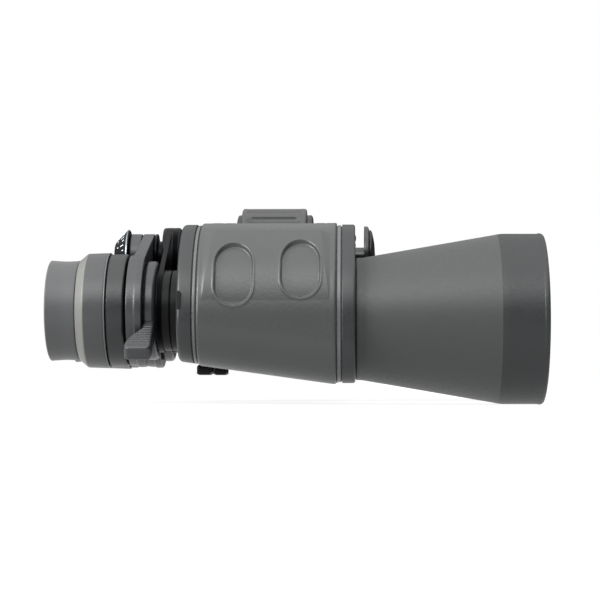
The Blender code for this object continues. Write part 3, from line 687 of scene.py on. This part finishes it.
def screw_into(heads, cross_shades, centre, outward, radius):
    """A cross-recess pan head: a low dome, with the shade of its cross recess painted as two dark bars
    flush with its top.
    """
    place = Vector((0, 0, 1)).rotation_difference(Vector(outward)).to_matrix().to_4x4()
    place = Matrix.Translation(Vector(centre)) @ place
    part = bmesh.new()
    bmesh.ops.create_uvsphere(part, u_segments=32, v_segments=16, radius=radius)
    bmesh.ops.bisect_plane(
        part, geom=part.verts[:] + part.edges[:] + part.faces[:], plane_co=(0, 0, 0.15 * radius),
        plane_no=(0, 0, 1), clear_inner=True,
    )
    rim = [edge for edge in part.edges if edge.is_boundary]
    bmesh.ops.triangle_fill(part, use_beauty=True, use_dissolve=False, edges=rim)
    bmesh.ops.scale(part, verts=part.verts, vec=(1.0, 1.0, 0.45))
    bmesh.ops.transform(part, matrix=place, verts=part.verts)
    absorb(heads, part)
    # Painted shade: the cross recess is not cut; two dark bars stand in for the shade down in it.
    half, top = 0.52 * radius, 0.45 * radius + 0.02
    for turn in (math.pi / 4, -math.pi / 4):
        outline = [(-half, -0.16), (half, -0.16), (half, 0.16), (-half, 0.16)]
        slab_into(cross_shades, outline, top - 0.3, top, place @ Matrix.Rotation(turn, 4, "Z"), soft=0.03)


# Distance from the mid-plane and height of each screw.
FRONT_SCREWS = ((26.0, 60.5), (70.0, 60.0), (82.0, 24.0), (31.0, 13.5))
REAR_SCREWS = ((62.0, 60.5), (80.0, 40.0), (62.0, 22.0), (24.0, 58.5))
SCREW_R = 1.7
SCREW_SUNK = 0.5


def make_cover_screws(side):
    sign = SIDES[side]
    heads, cross_shades = bmesh.new(), bmesh.new()
    for u, z in FRONT_SCREWS:
        screw_into(heads, cross_shades, (COVER_FRONT - SCREW_SUNK, sign * u, z), (1, 0, 0), SCREW_R)
    for u, z in REAR_SCREWS:
        screw_into(heads, cross_shades, (COVER_REAR + SCREW_SUNK, sign * u, z), (-1, 0, 0), SCREW_R)
    finish_piece(f"{side}_cover_screws", heads, "screw_steel", f"{side}_barrel")
    # Painted shade of the cross recesses, in black.
    finish_piece(f"{side}_screw_recess_shade", cross_shades, "black_anodised_and_shade", f"{side}_barrel")


def make_cover_slot(side):
    """The slot in the rear cover's outer edge, its shade painted as a dark slab standing a little out
    of the cover.
    """
    bm = bmesh.new()
    outline = [(x, y) for x, y in stadium_outline(1.5, 6.7)]
    x = COVER_REAR + 1.0
    place = place_of((x, SIDES[side] * (OUTER_U - COVER_INSET - 0.4), 37.0), (1, 0, 0), (0, 0, 1))
    # Painted shade: a black slab, not an opening, gives the slot its darkness.
    slab_into(bm, outline, -0.45, 0.45, place, soft=0.15)
    finish_piece(f"{side}_cover_slot_shade", bm, "black_anodised_and_shade", f"{side}_barrel")


def stadium_outline(width, height):
    radius = width / 2
    reach = height / 2 - radius
    top = arc((0.0, reach), radius, 0.0, math.pi, 12)
    return top + arc((0.0, -reach), radius, math.pi, math.tau, 12)


def make_strap_lug(side):
    """A bar on two feet under the rear edge; a strap passes above the bar."""
    half, low, high, bar, foot, bend = 7.0, 10.7, 14.6, 1.5, 2.0, 1.4
    outline = [
        *arc((-half + bend, low + bend), bend, math.pi, 1.5 * math.pi, 8),
        *arc((half - bend, low + bend), bend, 1.5 * math.pi, math.tau, 8),
        (half, high), (half - foot, high), (half - foot, low + bar),
        (-half + foot, low + bar), (-half + foot, high), (-half, high),
    ]
    bm = bmesh.new()
    place = place_of((0.0, SIDES[side] * 43.0, 0.0), (0, 1, 0), (0, 0, 1))
    slab_into(bm, outline, -34.8, -29.4, place, soft=1.1, segments=6)
    finish_piece(
        f"{side}_strap_bar", bm, "black_enamel", f"{side}_barrel", [f"{side}_strap_lug"]
    )


# ---------------------------------------------------------------- objectives


def make_objective(side):
    axis = OBJECTIVE[side]
    body = f"{side}_barrel"
    tube = (
        (75.4, 30.72), (74.2, 30.48, 1.5), (26.4, 22.25, 1.6), (24.4, 22.25, 0.3),
        (24.4, 19.8), (19.6, 19.8), (19.6, 18.0), (66.8, 24.6), (66.8, 26.8), (75.4, 26.8),
    )
    band = (
        (91.9, 29.8, 0.15), (92.0, 30.5, 0.3), (91.3, 31.08, 0.4), (90.3, 31.1, 0.25),
        (90.0, 30.92, 0.15), (77.2, 30.95, 1.4), (75.4, 30.74), (75.4, 26.8), (79.6, 26.8, 0.2),
        (79.6, 28.7, 0.2),
    )
    turned(
        f"{side}_hood_band", band, axis, "hood_rubber", body,
        [f"{side}_objective_barrel"],
    )
    turned(
        f"{side}_objective_tube", tube, axis, "barrel_armour", body,
        [f"{side}_objective_barrel"],
    )
    # The black lining of the hood, cut into fine light-trapping steps.
    steps = []
    for i in range(12):
        x = 91.2 - i * 0.95
        steps += [(x, 29.62 - 0.07 * i), (x - 0.5, 29.25 - 0.07 * i)]
    lining = (*steps, (79.7, 28.55), (79.7, 28.8), (91.6, 29.9), (91.6, 29.7))
    turned(f"{side}_hood_lining", lining, axis, "black_anodised_and_shade", body)
    # The bore behind the lens, also black.
    bore = ((66.6, 24.55), (19.8, 17.9), (19.8, 17.4), (66.6, 24.0))
    turned(f"{side}_barrel_lining", bore, axis, "black_anodised_and_shade", body, steps=ROUND)
    ring = ((79.3, 26.5, 0.2), (79.3, 25.4, 0.2), (76.2, 24.9), (76.2, 26.5))
    turned(
        f"{side}_lens_retainer", ring, axis, "black_anodised_and_shade", body,
        [f"{side}_objective_retainer"],
    )
    make_lens(f"{side}_crown_lens", 78.6, 3.2, 69.6, 4.4, 26.4, axis, "objective_glass", body,
              f"{side}_objective_crown")
    make_lens(f"{side}_flint_lens", 69.2, -4.4, 67.2, 0.0, 26.4, axis, "objective_glass", body,
              f"{side}_objective_flint")


def make_lens(name, front, front_bulge, rear, rear_bulge, radius, axis, paint, body, node):
    """A lens from its front and rear vertices; a bulge is how far its middle passes its edge."""
    shares = [i / 16 for i in range(17)]
    face = [(front - front_bulge * share**2, radius * share) for share in shares]
    back = [(rear + rear_bulge * share**2, radius * share) for share in reversed(shares)]
    turned(name, face + back, axis, paint, body, [node], closed=False, steps=ROUND)


# ---------------------------------------------------------------- hinge and focusing


def make_hinge():
    sleeve = (
        (-22.9, 8.0), (-33.0, 8.0), (-33.0, 11.4, 0.3), (-36.4, 11.4, 0.2), (-36.7, 11.1, 0.1),
        (-37.3, 11.1, 0.1), (-37.6, 11.4, 0.2), (-41.9, 11.4, 0.5), (-42.5, 10.6, 0.3),
        (-42.5, 4.3), (-22.9, 4.3),
    )
    turned(
        "hinge_column", sleeve, HINGE, "black_enamel", "left_barrel", ["hinge_sleeve"]
    )
    socket = (
        (11.8, 0.0), (11.8, 3.4), (23.8, 3.4, 0.2), (23.8, 6.5, 0.5), (17.3, 6.5), (17.3, 8.0, 0.2),
        (8.2, 8.0), (8.2, 0.0),
    )
    turned(
        "socket_boss", socket, HINGE, "black_oxide", "left_barrel",
        ["tripod_socket"], closed=False,
    )
    cap = (
        (32.2, 0.0), (31.9, 5.5, 2.0), (31.0, 9.6, 0.8), (30.3, 10.6, 0.3), (29.9, 10.2, 0.1),
        (29.4, 11.8, 0.3), (27.8, 12.0, 0.4), (27.8, 3.5), (24.1, 3.5, 0.2), (24.1, 3.1),
        (12.2, 3.1, 0.4), (12.2, 0.0),
    )
    turned(
        "socket_cap", cap, HINGE, "cap_enamel", "tripod_cap",
        ["tripod_socket_cap"], closed=False,
    )


def fluted_ring(x, radius, depth, flutes=18, per_flute=16):
    """A circle with round-bottomed flutes of a given depth, in the plane at x."""
    count = flutes * per_flute
    found = []
    for i in range(count):
        share = (i % per_flute) / per_flute
        # Ribs are wider than the flutes between them.
        dip = max(0.0, math.sin(math.pi * (share - 0.45) / 0.55)) if share > 0.45 else 0.0
        r = radius - depth * dip**0.7
        angle = math.tau * i / count
        found.append((x, r * math.cos(angle) + HINGE[0], r * math.sin(angle) + HINGE[1]))
    return found


def make_focus_wheel():
    hub = (
        (7.6, 15.2, 0.5), (7.1, 16.4, 0.4), (5.3, 16.4), (5.3, 13.6), (-20.6, 13.6), (-20.6, 16.4),
        (-21.9, 16.4, 0.4), (-22.4, 15.2, 0.5), (-22.4, 7.9), (7.6, 7.9),
    )
    turned("wheel_hub", hub, HINGE, "nylon_cover", "focus_wheel", ["focus_wheel_hub"])
    nut = ((4.5, 7.6, 0.3), (-19.5, 7.6, 0.3), (-19.5, 4.3), (4.5, 4.3))
    turned("drive_nut", nut, HINGE, "brass", "focus_wheel", ["focus_nut"], steps=SMALL)
    bm = bmesh.new()
    rear, front, radius = -20.4, 5.1, 19.0
    stations = [(rear, 17.0, 0.0)]
    stations += [(x, radius - inset, 0.0) for x, inset in end_stations(rear, 1, 1.0)]
    for x, share in ((rear + 1.6, 0.0), (rear + 2.4, 0.45), (rear + 3.4, 0.85), (rear + 4.6, 1.0),
                     (front - 4.6, 1.0), (front - 3.4, 0.85), (front - 2.4, 0.45), (front - 1.6, 0.0)):
        stations.append((x, radius, 1.25 * share))
    stations += [(x, radius - inset, 0.0) for x, inset in end_stations(front, -1, 1.0)[::-1]]
    stations += [(front, 17.0, 0.0), (front, 13.7, 0.0), (rear, 13.7, 0.0)]
    skin(bm, [fluted_ring(*station) for station in stations], looped=True)
    finish_piece(
        "wheel_grip", bm, "grip_rubber", "focus_wheel", ["focus_wheel_grip"], 48.0
    )
    shaft = (
        (4.0, 0.0), (4.0, 3.4), (3.4, 4.0), (-52.2, 4.0), (-52.2, 6.1, 0.2), (-54.0, 6.1, 0.2),
        (-54.0, 4.0), (-69.8, 4.0), (-69.8, 0.0),
    )
    turned(
        "drive_shaft", shaft, HINGE, "black_oxide", "focus_bridge",
        ["focus_shaft"], closed=False, steps=SMALL,
    )


def cone_point(share, angle):
    """(point, along, round, outward) on the scale cap's cone, share 0 at its wide end."""
    wide = Vector((-66.6, 10.3))
    small = Vector((-70.9, 5.9))
    place = wide.lerp(small, share)
    slope = (small - wide).normalized()
    radial = Vector((0.0, math.cos(angle), math.sin(angle)))
    around = Vector((0.0, -math.sin(angle), math.cos(angle)))
    along = Vector((slope.x, 0, 0)) + radial * slope.y
    outward = Vector((slope.y, 0, 0)) - radial * slope.x
    point = Vector((place.x, *HINGE)) + radial * place.y
    return point, along, around, outward


def make_scale_cap():
    cap = (
        (-70.2, 0.0), (-70.2, 4.3), (-65.5, 4.3), (-65.5, 10.4, 0.2), (-66.0, 10.65, 0.15),
        (-66.6, 10.3, 0.15), (-70.9, 5.9, 0.5), (-71.5, 4.8, 0.5), (-71.6, 0.0),
    )
    turned(
        "scale_cap", cap, HINGE, "black_enamel", "focus_bridge",
        ["interpupillary_scale_cap"], closed=False,
    )
    bright = ((-65.9, 10.4), (-65.9, 10.78, 0.1), (-66.45, 10.62, 0.1), (-66.45, 10.2))
    turned("scale_cap_rim", bright, HINGE, "turned_steel", "focus_bridge")
    bm = bmesh.new()
    for i in range(15):
        angle = math.radians(98 + 14 * i)
        tall = i % 2 == 0
        point, along, around, outward = cone_point(0.36 if tall else 0.26, angle)
        half = 0.95 if tall else 0.5
        outline = [(-half, -0.17), (half, -0.17), (half, 0.17), (-half, 0.17)]
        place = place_of(point, along, around)
        slab_into(bm, outline, -0.05, 0.05, place)
        if tall:
            dot = cone_point(0.78, angle)
            slab_into(bm, arc((0, 0), 0.3, 0, math.tau, 16)[:-1], -0.05, 0.05, place_of(*dot[:3]))
    finish_piece("scale_marks", bm, "white_ink", "focus_bridge")


def make_bridge_stack():
    washer = ((-54.3, 9.0, 0.15), (-55.2, 9.0, 0.15), (-55.2, 4.3), (-54.3, 4.3))
    turned("bridge_washer", washer, HINGE, "black_oxide", "focus_bridge",
           ["thrust_washer"], steps=ROUND)
    drum = (
        (-45.0, 10.9, 0.2), (-45.5, 11.4, 0.2), (-45.7, 11.4), (-45.7, 10.8), (-47.7, 10.8),
        (-47.7, 11.4), (-48.3, 11.4), (-48.3, 10.8), (-50.3, 10.8), (-50.3, 11.4),
        (-51.5, 11.4, 0.2), (-51.9, 10.9, 0.2), (-51.9, 4.3), (-45.0, 4.3),
    )
    turned("band_drum", drum, HINGE, "black_enamel", "zoom_drum", ["zoom_drum"])


# ---------------------------------------------------------------- eyepieces

ARM_RING_R = 21.6
ARM_HUB_R = 9.0
ARM_BORE_R = 17.3
ARM_HUB_SPAN = {"left": (-65.1, -60.5), "right": (-60.2, -55.6)}
ARM_RING_SPAN = (-61.3, -55.3)
LEVER_TILT = math.radians(30.0)


def bridge_body(side):
    return "focus_bridge" if side == "left" else "right_arm"


def make_arm(side):
    """A teardrop link from the hinge to a ring that holds the ocular tube."""
    ocular = OCULAR[side]
    rear, front = ARM_HUB_SPAN[side]
    body = bridge_body(side)
    stations = end_stations(rear, 1, 0.7) + end_stations(front, -1, 0.5)[::-1]
    rings = [
        teardrop_at(x, ocular, ARM_RING_R - 0.6 - inset, HINGE, ARM_HUB_R - inset)
        for x, inset in stations
    ]
    holes = [
        (circle_at(rear, ocular, ARM_BORE_R, 96), circle_at(front, ocular, ARM_BORE_R, 96)),
        (circle_at(rear, HINGE, 4.3, 48), circle_at(front, HINGE, 4.3, 48)),
    ]
    bm = bmesh.new()
    skin(bm, rings, holes=holes)
    node = f"{side}_eyepiece_arm"
    finish_piece(f"{side}_bridge_arm", bm, "nylon_arm", body, [node])
    rear, front = ARM_RING_SPAN
    ring = (
        (front, ARM_BORE_R), (front, ARM_RING_R - 0.1, 0.5), (front - 2.6, ARM_RING_R, 0.3),
        (front - 3.0, ARM_RING_R - 0.35, 0.2), (rear, ARM_RING_R - 0.5, 0.5), (rear, ARM_BORE_R),
    )
    turned(f"{side}_arm_ring", ring, ocular, "nylon_arm", body, [node])


def make_ocular_tube(side):
    seat_rear = ARM_HUB_SPAN["left"][0] - 0.3 if side == "left" else -61.6
    tube = (
        (-32.4, 15.3, 0.3), (-45.0, 15.3), (-45.0, 14.0), (-55.0, 14.0), (-55.0, 17.0),
        (seat_rear, 17.0), (seat_rear, 16.0), (-68.4, 16.0), (-68.4, 12.6), (-32.4, 12.6, 0.3),
    )
    turned(f"{side}_slide_tube", tube, OCULAR[side], "black_enamel", bridge_body(side),
           [f"{side}_ocular_tube"])


def lever_rear(radius):
    """How far towards the eye the zoom lever's flank reaches at a radius."""
    flare_r, side_r, rear, reach = 22.6, 31.8, -54.8, -60.8
    share = min(1.0, max(0.0, (radius - flare_r) / (side_r - flare_r)))
    return rear + math.sin(share * math.pi / 2) * (reach - rear)


def make_zoom_lever(axis):
    """The thumb lever: straight in front, flaring towards the eye, ribbed on its upper face."""
    root_r, side_r, tip_r, front, reach, thick = 17.0, 31.8, 34.0, -50.7, -60.8, 5.4
    corner = tip_r - side_r
    flank = [(r, lever_rear(r)) for r in (22.6 + 9.2 * i / 16 for i in range(17))]
    tip = arc((side_r, reach + corner), corner, -math.pi / 2, 0.0, 8)[1:]
    nose = arc((side_r, front - corner), corner, 0.0, math.pi / 2, 8)
    outline = [(root_r, -54.8), *flank, *tip, *nose, (root_r, front)]
    radial = Vector((0.0, -math.cos(LEVER_TILT), -math.sin(LEVER_TILT)))
    place = place_of((0.0, *axis), radial, Vector((1, 0, 0)))
    # The lever frame's local Z points up and outwards: the thumb's face, thicker towards the ring.
    part = bmesh.new()
    slab_into(part, outline, -thick / 2, thick / 2, Matrix(), soft=0.9, segments=5)
    for vert in part.verts:
        if vert.co.z > 0.0:
            vert.co.z += lever_rise(vert.co.x)
    bmesh.ops.transform(part, matrix=place, verts=part.verts)
    finish_piece(
        "zoom_thumb_lever", part, "nylon_arm", "right_zoom_ring", ["right_zoom_ring"]
    )
    ribs = bmesh.new()
    pitch, crease = 0.92, -56.0
    for i in range(11):
        radius = 22.4 + pitch * i
        level = thick / 2 + lever_rise(radius) - 0.08
        rear = lever_rear(radius) + 0.9
        halves = [(max(rear, crease + 0.15), front - 0.8)]
        if rear < crease - 0.8:
            halves.append((rear, crease - 0.15))
        for low, high in halves:
            part = bmesh.new()
            bmesh.ops.create_cone(
                part, cap_ends=True, segments=16, radius1=0.32, radius2=0.32, depth=high - low,
                matrix=Matrix.Translation((radius, (high + low) / 2, level))
                @ Matrix.Rotation(math.pi / 2, 4, "X"),
            )
            bmesh.ops.transform(part, matrix=place, verts=part.verts)
            absorb(ribs, part)
    finish_piece("zoom_lever_ribs", ribs, "lever_ribs", "right_zoom_ring")


def lever_rise(radius):
    """How much the thumb's face stands above the plain slab at a radius."""
    return 2.5 * min(1.0, max(0.0, (32.4 - radius) / 10.4))


def make_zoom_ring(side):
    ring = (
        (-50.7, 14.3), (-50.7, 18.0, 1.1), (-51.6, 18.8, 0.8), (-54.3, 18.8, 0.5), (-54.9, 18.2, 0.4),
        (-54.9, 14.3),
    )
    spigot = ((-45.4, 14.3), (-45.4, 15.1, 0.2), (-45.8, 15.3, 0.2), (-50.6, 15.3), (-50.6, 14.3))
    axis = OCULAR[side]
    body = f"{side}_zoom_ring"
    node = f"{side}_zoom_ring"
    turned(f"{side}_zoom_collar", ring, axis, "nylon_arm", body, [node])
    turned(f"{side}_zoom_spigot", spigot, axis, "black_enamel", body, [node])
    if side == "right":
        make_zoom_lever(axis)


def make_zoom_band(side):
    """A thin steel band round the zoom ring's spigot and the drum on the hinge shaft."""
    rear, front = (-47.6, -45.8) if side == "left" else (-50.2, -48.4)
    ring_r, drum_r, gap, thick = 15.3, 10.8, 0.3, 0.35

    def band_ring(x, lift):
        return teardrop_at(x, OCULAR[side], ring_r + lift, HINGE, drum_r + lift)

    bm = bmesh.new()
    rings = [
        band_ring(rear, gap), band_ring(rear, gap + thick), band_ring(front, gap + thick),
        band_ring(front, gap),
    ]
    skin(bm, rings, looped=True)
    finish_piece(f"{side}_drive_band", bm, "blued_steel", bridge_body(side),
                 [f"{side}_zoom_band"])


def make_collar(side):
    """The turning dioptre ring on the right, and the plain ring that matches it on the left."""
    front = -62.1 if side == "right" else ARM_HUB_SPAN["left"][0] - 0.4
    ring = (
        (front, 16.3), (front, 21.0, 0.5), (front - 0.5, 21.5, 0.4), (-68.3, 21.5, 0.4),
        (-68.9, 21.1, 0.3), (-68.9, 16.3),
    )
    node = "dioptre_ring" if side == "right" else "left_collar_ring"
    body = "dioptre_ring" if side == "right" else "focus_bridge"
    turned(f"{side}_collar", ring, OCULAR[side], "nylon_cover", body, [node])


def make_eyepiece_head(side):
    axis = OCULAR[side]
    body = "focus_bridge" if side == "left" else "right_eyepiece_head"
    head = (
        (-62.4, 10.6), (-62.4, 12.2), (-69.2, 12.2), (-69.2, 21.5, 0.3), (-69.7, 22.0, 0.3),
        (-77.2, 21.75, 0.5), (-80.2, 19.3, 0.3), (-80.2, 16.6), (-86.2, 16.6, 0.2), (-86.2, 12.3, 0.2),
        (-78.4, 12.3), (-78.4, 10.6),
    )
    turned(f"{side}_ocular_head", head, axis, "head_rubber", body,
           [f"{side}_eyepiece_head"])
    # Painted highlight: a pale band laid over the head's sloping shoulder, standing in for the light
    # that falls on it.
    highlight_band = (
        (-80.45, 17.2), (-80.45, 19.15, 0.2), (-80.1, 19.5, 0.15), (-77.45, 21.72, 0.2),
        (-77.0, 21.7), (-79.9, 18.9), (-79.9, 17.2),
    )
    turned(f"{side}_head_shoulder_highlight", highlight_band, axis, "painted_highlight", body)
    seam = ((-69.0, 21.3), (-69.0, 22.02, 0.12), (-69.35, 22.06, 0.12), (-69.6, 21.8), (-69.6, 21.3))
    turned(f"{side}_head_seam", seam, axis, "nylon_housing", body)
    # Painted highlight: a pale ring along the eyecup's rolled rim, standing in for the light on it.
    lip = (
        (-91.35, 18.9), (-91.5, 19.24, 0.12), (-91.95, 18.75, 0.15), (-91.96, 18.2, 0.1),
        (-91.5, 18.2),
    )
    turned(f"{side}_eyecup_rim_highlight", lip, axis, "painted_highlight", body)
    cup = (
        (-80.5, 16.9), (-80.5, 18.7, 0.2), (-80.9, 19.05, 0.2), (-85.4, 18.75, 2.0),
        (-90.9, 19.1, 0.5), (-91.7, 19.2, 0.35), (-92.0, 18.5, 0.3), (-91.8, 17.6, 0.4),
        (-87.4, 16.6, 0.6), (-87.4, 13.6, 0.2),
        (-86.5, 13.6, 0.2), (-86.5, 16.9),
    )
    turned(f"{side}_soft_eyecup", cup, axis, "eyecup_silicone", body, [f"{side}_eyecup"])
    make_lens(f"{side}_eye_glass", -78.8, 1.4, -85.4, 1.6, 12.0, axis, "eyepiece_glass", body,
              f"{side}_eye_lens")


def make_zoom_optics(side):
    axis = OCULAR[side]
    body = f"{side}_zoom_cell"
    cell = (
        (-51.0, 12.3, 0.2), (-59.5, 12.3, 0.2), (-59.5, 10.9), (-53.4, 10.9), (-53.4, 9.2),
        (-51.0, 9.2, 0.2),
    )
    turned(f"{side}_cell", cell, axis, "black_anodised_and_shade", body, [f"{side}_zoom_cell"],
           steps=SMALL)
    make_lens(f"{side}_zoom_glass", -53.7, 1.2, -59.2, 1.6, 10.6, axis, "eyepiece_glass", body,
              f"{side}_zoom_lens")


# ---------------------------------------------------------------- pieces kept from the frame


def dress_kept_nodes():
    """The prisms, their clips and their plates stay as packed, in finishes of their own."""
    finishes = {"_clip": "spring_steel", "_prism": "prism_glass", "_plate": "black_anodised_and_shade"}
    for name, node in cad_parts.items():
        for ending, paint in finishes.items():
            if name.endswith(ending):
                node.data.materials.clear()
                node.data.materials.append(PAINTS[paint])
                break


# ---------------------------------------------------------------- stage

TENT_TOP = 3.0
TENT_HORIZON = 0.12
TENT_BEHIND = 0.3
FLOOR_RADIUS_M = 1.6
FLOOR_GLOW = 0.88
LENS_MM = 111.84
CAMERA_PLACE_M = (0.0222, -0.742, 0.0104)
CAMERA_YAW, CAMERA_PITCH = 1.54, 2.33
LIGHT_AIM_M = (0.0, 0.0, 0.03)
# Name, place and size in metres, and power in watts.
SOFTBOXES = (
    ("left_softbox", (-1.15, -0.65, 0.5), (0.7, 0.6), 24.0),
    ("key_softbox", (-0.2, -0.85, 0.72), (1.0, 0.5), 3.9),
)


def make_floor():
    """A sheet of white acrylic lit from below, so that it stays white round the object."""
    bm = bmesh.new()
    bmesh.ops.create_circle(bm, cap_ends=True, segments=96, radius=FLOOR_RADIUS_M)
    mesh = bpy.data.meshes.new("studio_floor")
    bm.to_mesh(mesh)
    bm.free()
    floor = bpy.data.objects.new("studio_floor", mesh)
    made, tree, shader = new_material("backlit_acrylic")
    place = add_node(tree, "ShaderNodeTexCoord").outputs["Object"]
    fibre = add_node(
        tree, "ShaderNodeTexNoise", inputs={"Scale": 30.0, "Detail": 3.0}, links={"Vector": place}
    )
    tone = add_node(
        tree, "ShaderNodeMix",
        settings={"data_type": "RGBA"},
        inputs={"A": hex_colour("6a6a6a"), "B": hex_colour("707070")},
        links={"Factor": fibre.outputs["Fac"]},
    )
    tree.links.new(tone.outputs["Result"], shader.inputs["Base Color"])
    shader.inputs["Roughness"].default_value = 0.9
    shader.inputs["Specular IOR Level"].default_value = 0.1
    shader.inputs["Emission Color"].default_value = (1.0, 1.0, 1.0, 1.0)
    shader.inputs["Emission Strength"].default_value = FLOOR_GLOW
    mesh.materials.append(made)
    bpy.context.scene.collection.objects.link(floor)


def add_softbox(name, place, size, watts):
    """A rectangular softbox that faces the object."""
    data = bpy.data.lights.new(name, "AREA")
    data.shape = "RECTANGLE"
    data.size, data.size_y = size
    data.energy = watts
    lamp = bpy.data.objects.new(name, data)
    lamp.location = place
    facing = Vector(LIGHT_AIM_M) - Vector(place)
    lamp.rotation_euler = facing.to_track_quat("-Z", "Y").to_euler()
    bpy.context.scene.collection.objects.link(lamp)


def make_world():
    """A light tent: dim at the horizon, full from 41 degrees up, weaker behind, white to look at."""
    world = bpy.data.worlds.new("light_tent")
    world.use_nodes = True
    bpy.context.scene.world = world
    tree = world.node_tree
    back = tree.nodes["Background"]
    back.inputs["Color"].default_value = (1.0, 1.0, 1.0, 1.0)
    place = add_node(tree, "ShaderNodeTexCoord").outputs["Generated"]
    compass = add_node(tree, "ShaderNodeSeparateXYZ", links={"Vector": place})
    tent = add_node(
        tree, "ShaderNodeMapRange",
        settings={"interpolation_type": "SMOOTHSTEP"},
        inputs={"From Min": 0.12, "From Max": 0.66, "To Min": TENT_HORIZON, "To Max": TENT_TOP},
        links={"Value": compass.outputs["Z"]},
    )
    behind = add_node(
        tree, "ShaderNodeMapRange",
        inputs={"From Min": -0.1, "From Max": 0.7, "To Min": 1.0, "To Max": TENT_BEHIND},
        links={"Value": compass.outputs["Y"]},
    )
    lit = add_node(
        tree, "ShaderNodeMath",
        settings={"operation": "MULTIPLY"},
        links={0: tent.outputs["Result"], 1: behind.outputs["Result"]},
    )
    rays = add_node(tree, "ShaderNodeLightPath").outputs["Is Camera Ray"]
    power = add_node(
        tree, "ShaderNodeMix", inputs={"B": 1.0}, links={"Factor": rays, "A": lit.outputs["Value"]}
    )
    tree.links.new(power.outputs["Result"], back.inputs["Strength"])


def make_camera():
    """Low on the right-hand side, looking slightly up and rearwards."""
    data = bpy.data.cameras.new("side_camera")
    data.lens = LENS_MM
    data.sensor_width = 36.0
    data.clip_start = 0.01
    data.clip_end = 20.0
    camera = bpy.data.objects.new("side_camera", data)
    camera.location = CAMERA_PLACE_M
    pitch = math.radians(CAMERA_PITCH)
    camera.rotation_euler = (math.pi / 2 + pitch, 0.0, math.radians(CAMERA_YAW))
    bpy.context.scene.collection.objects.link(camera)
    bpy.context.scene.camera = camera


TWICE = (
    make_armour, make_housing, make_lugs, make_rear_cover, make_front_cover, make_gaskets,
    make_cover_screws, make_cover_slot, make_strap_lug, make_objective, make_arm, make_ocular_tube,
    make_zoom_ring, make_zoom_band, make_collar, make_eyepiece_head, make_zoom_optics,
)
for each_side in SIDES:
    for make in TWICE:
        make(each_side)
make_hinge()
make_focus_wheel()
make_scale_cap()
make_bridge_stack()
dress_kept_nodes()
make_floor()
make_world()
for softbox in SOFTBOXES:
    add_softbox(*softbox)
make_camera()
bpy.context.scene.view_settings.view_transform = "Standard"
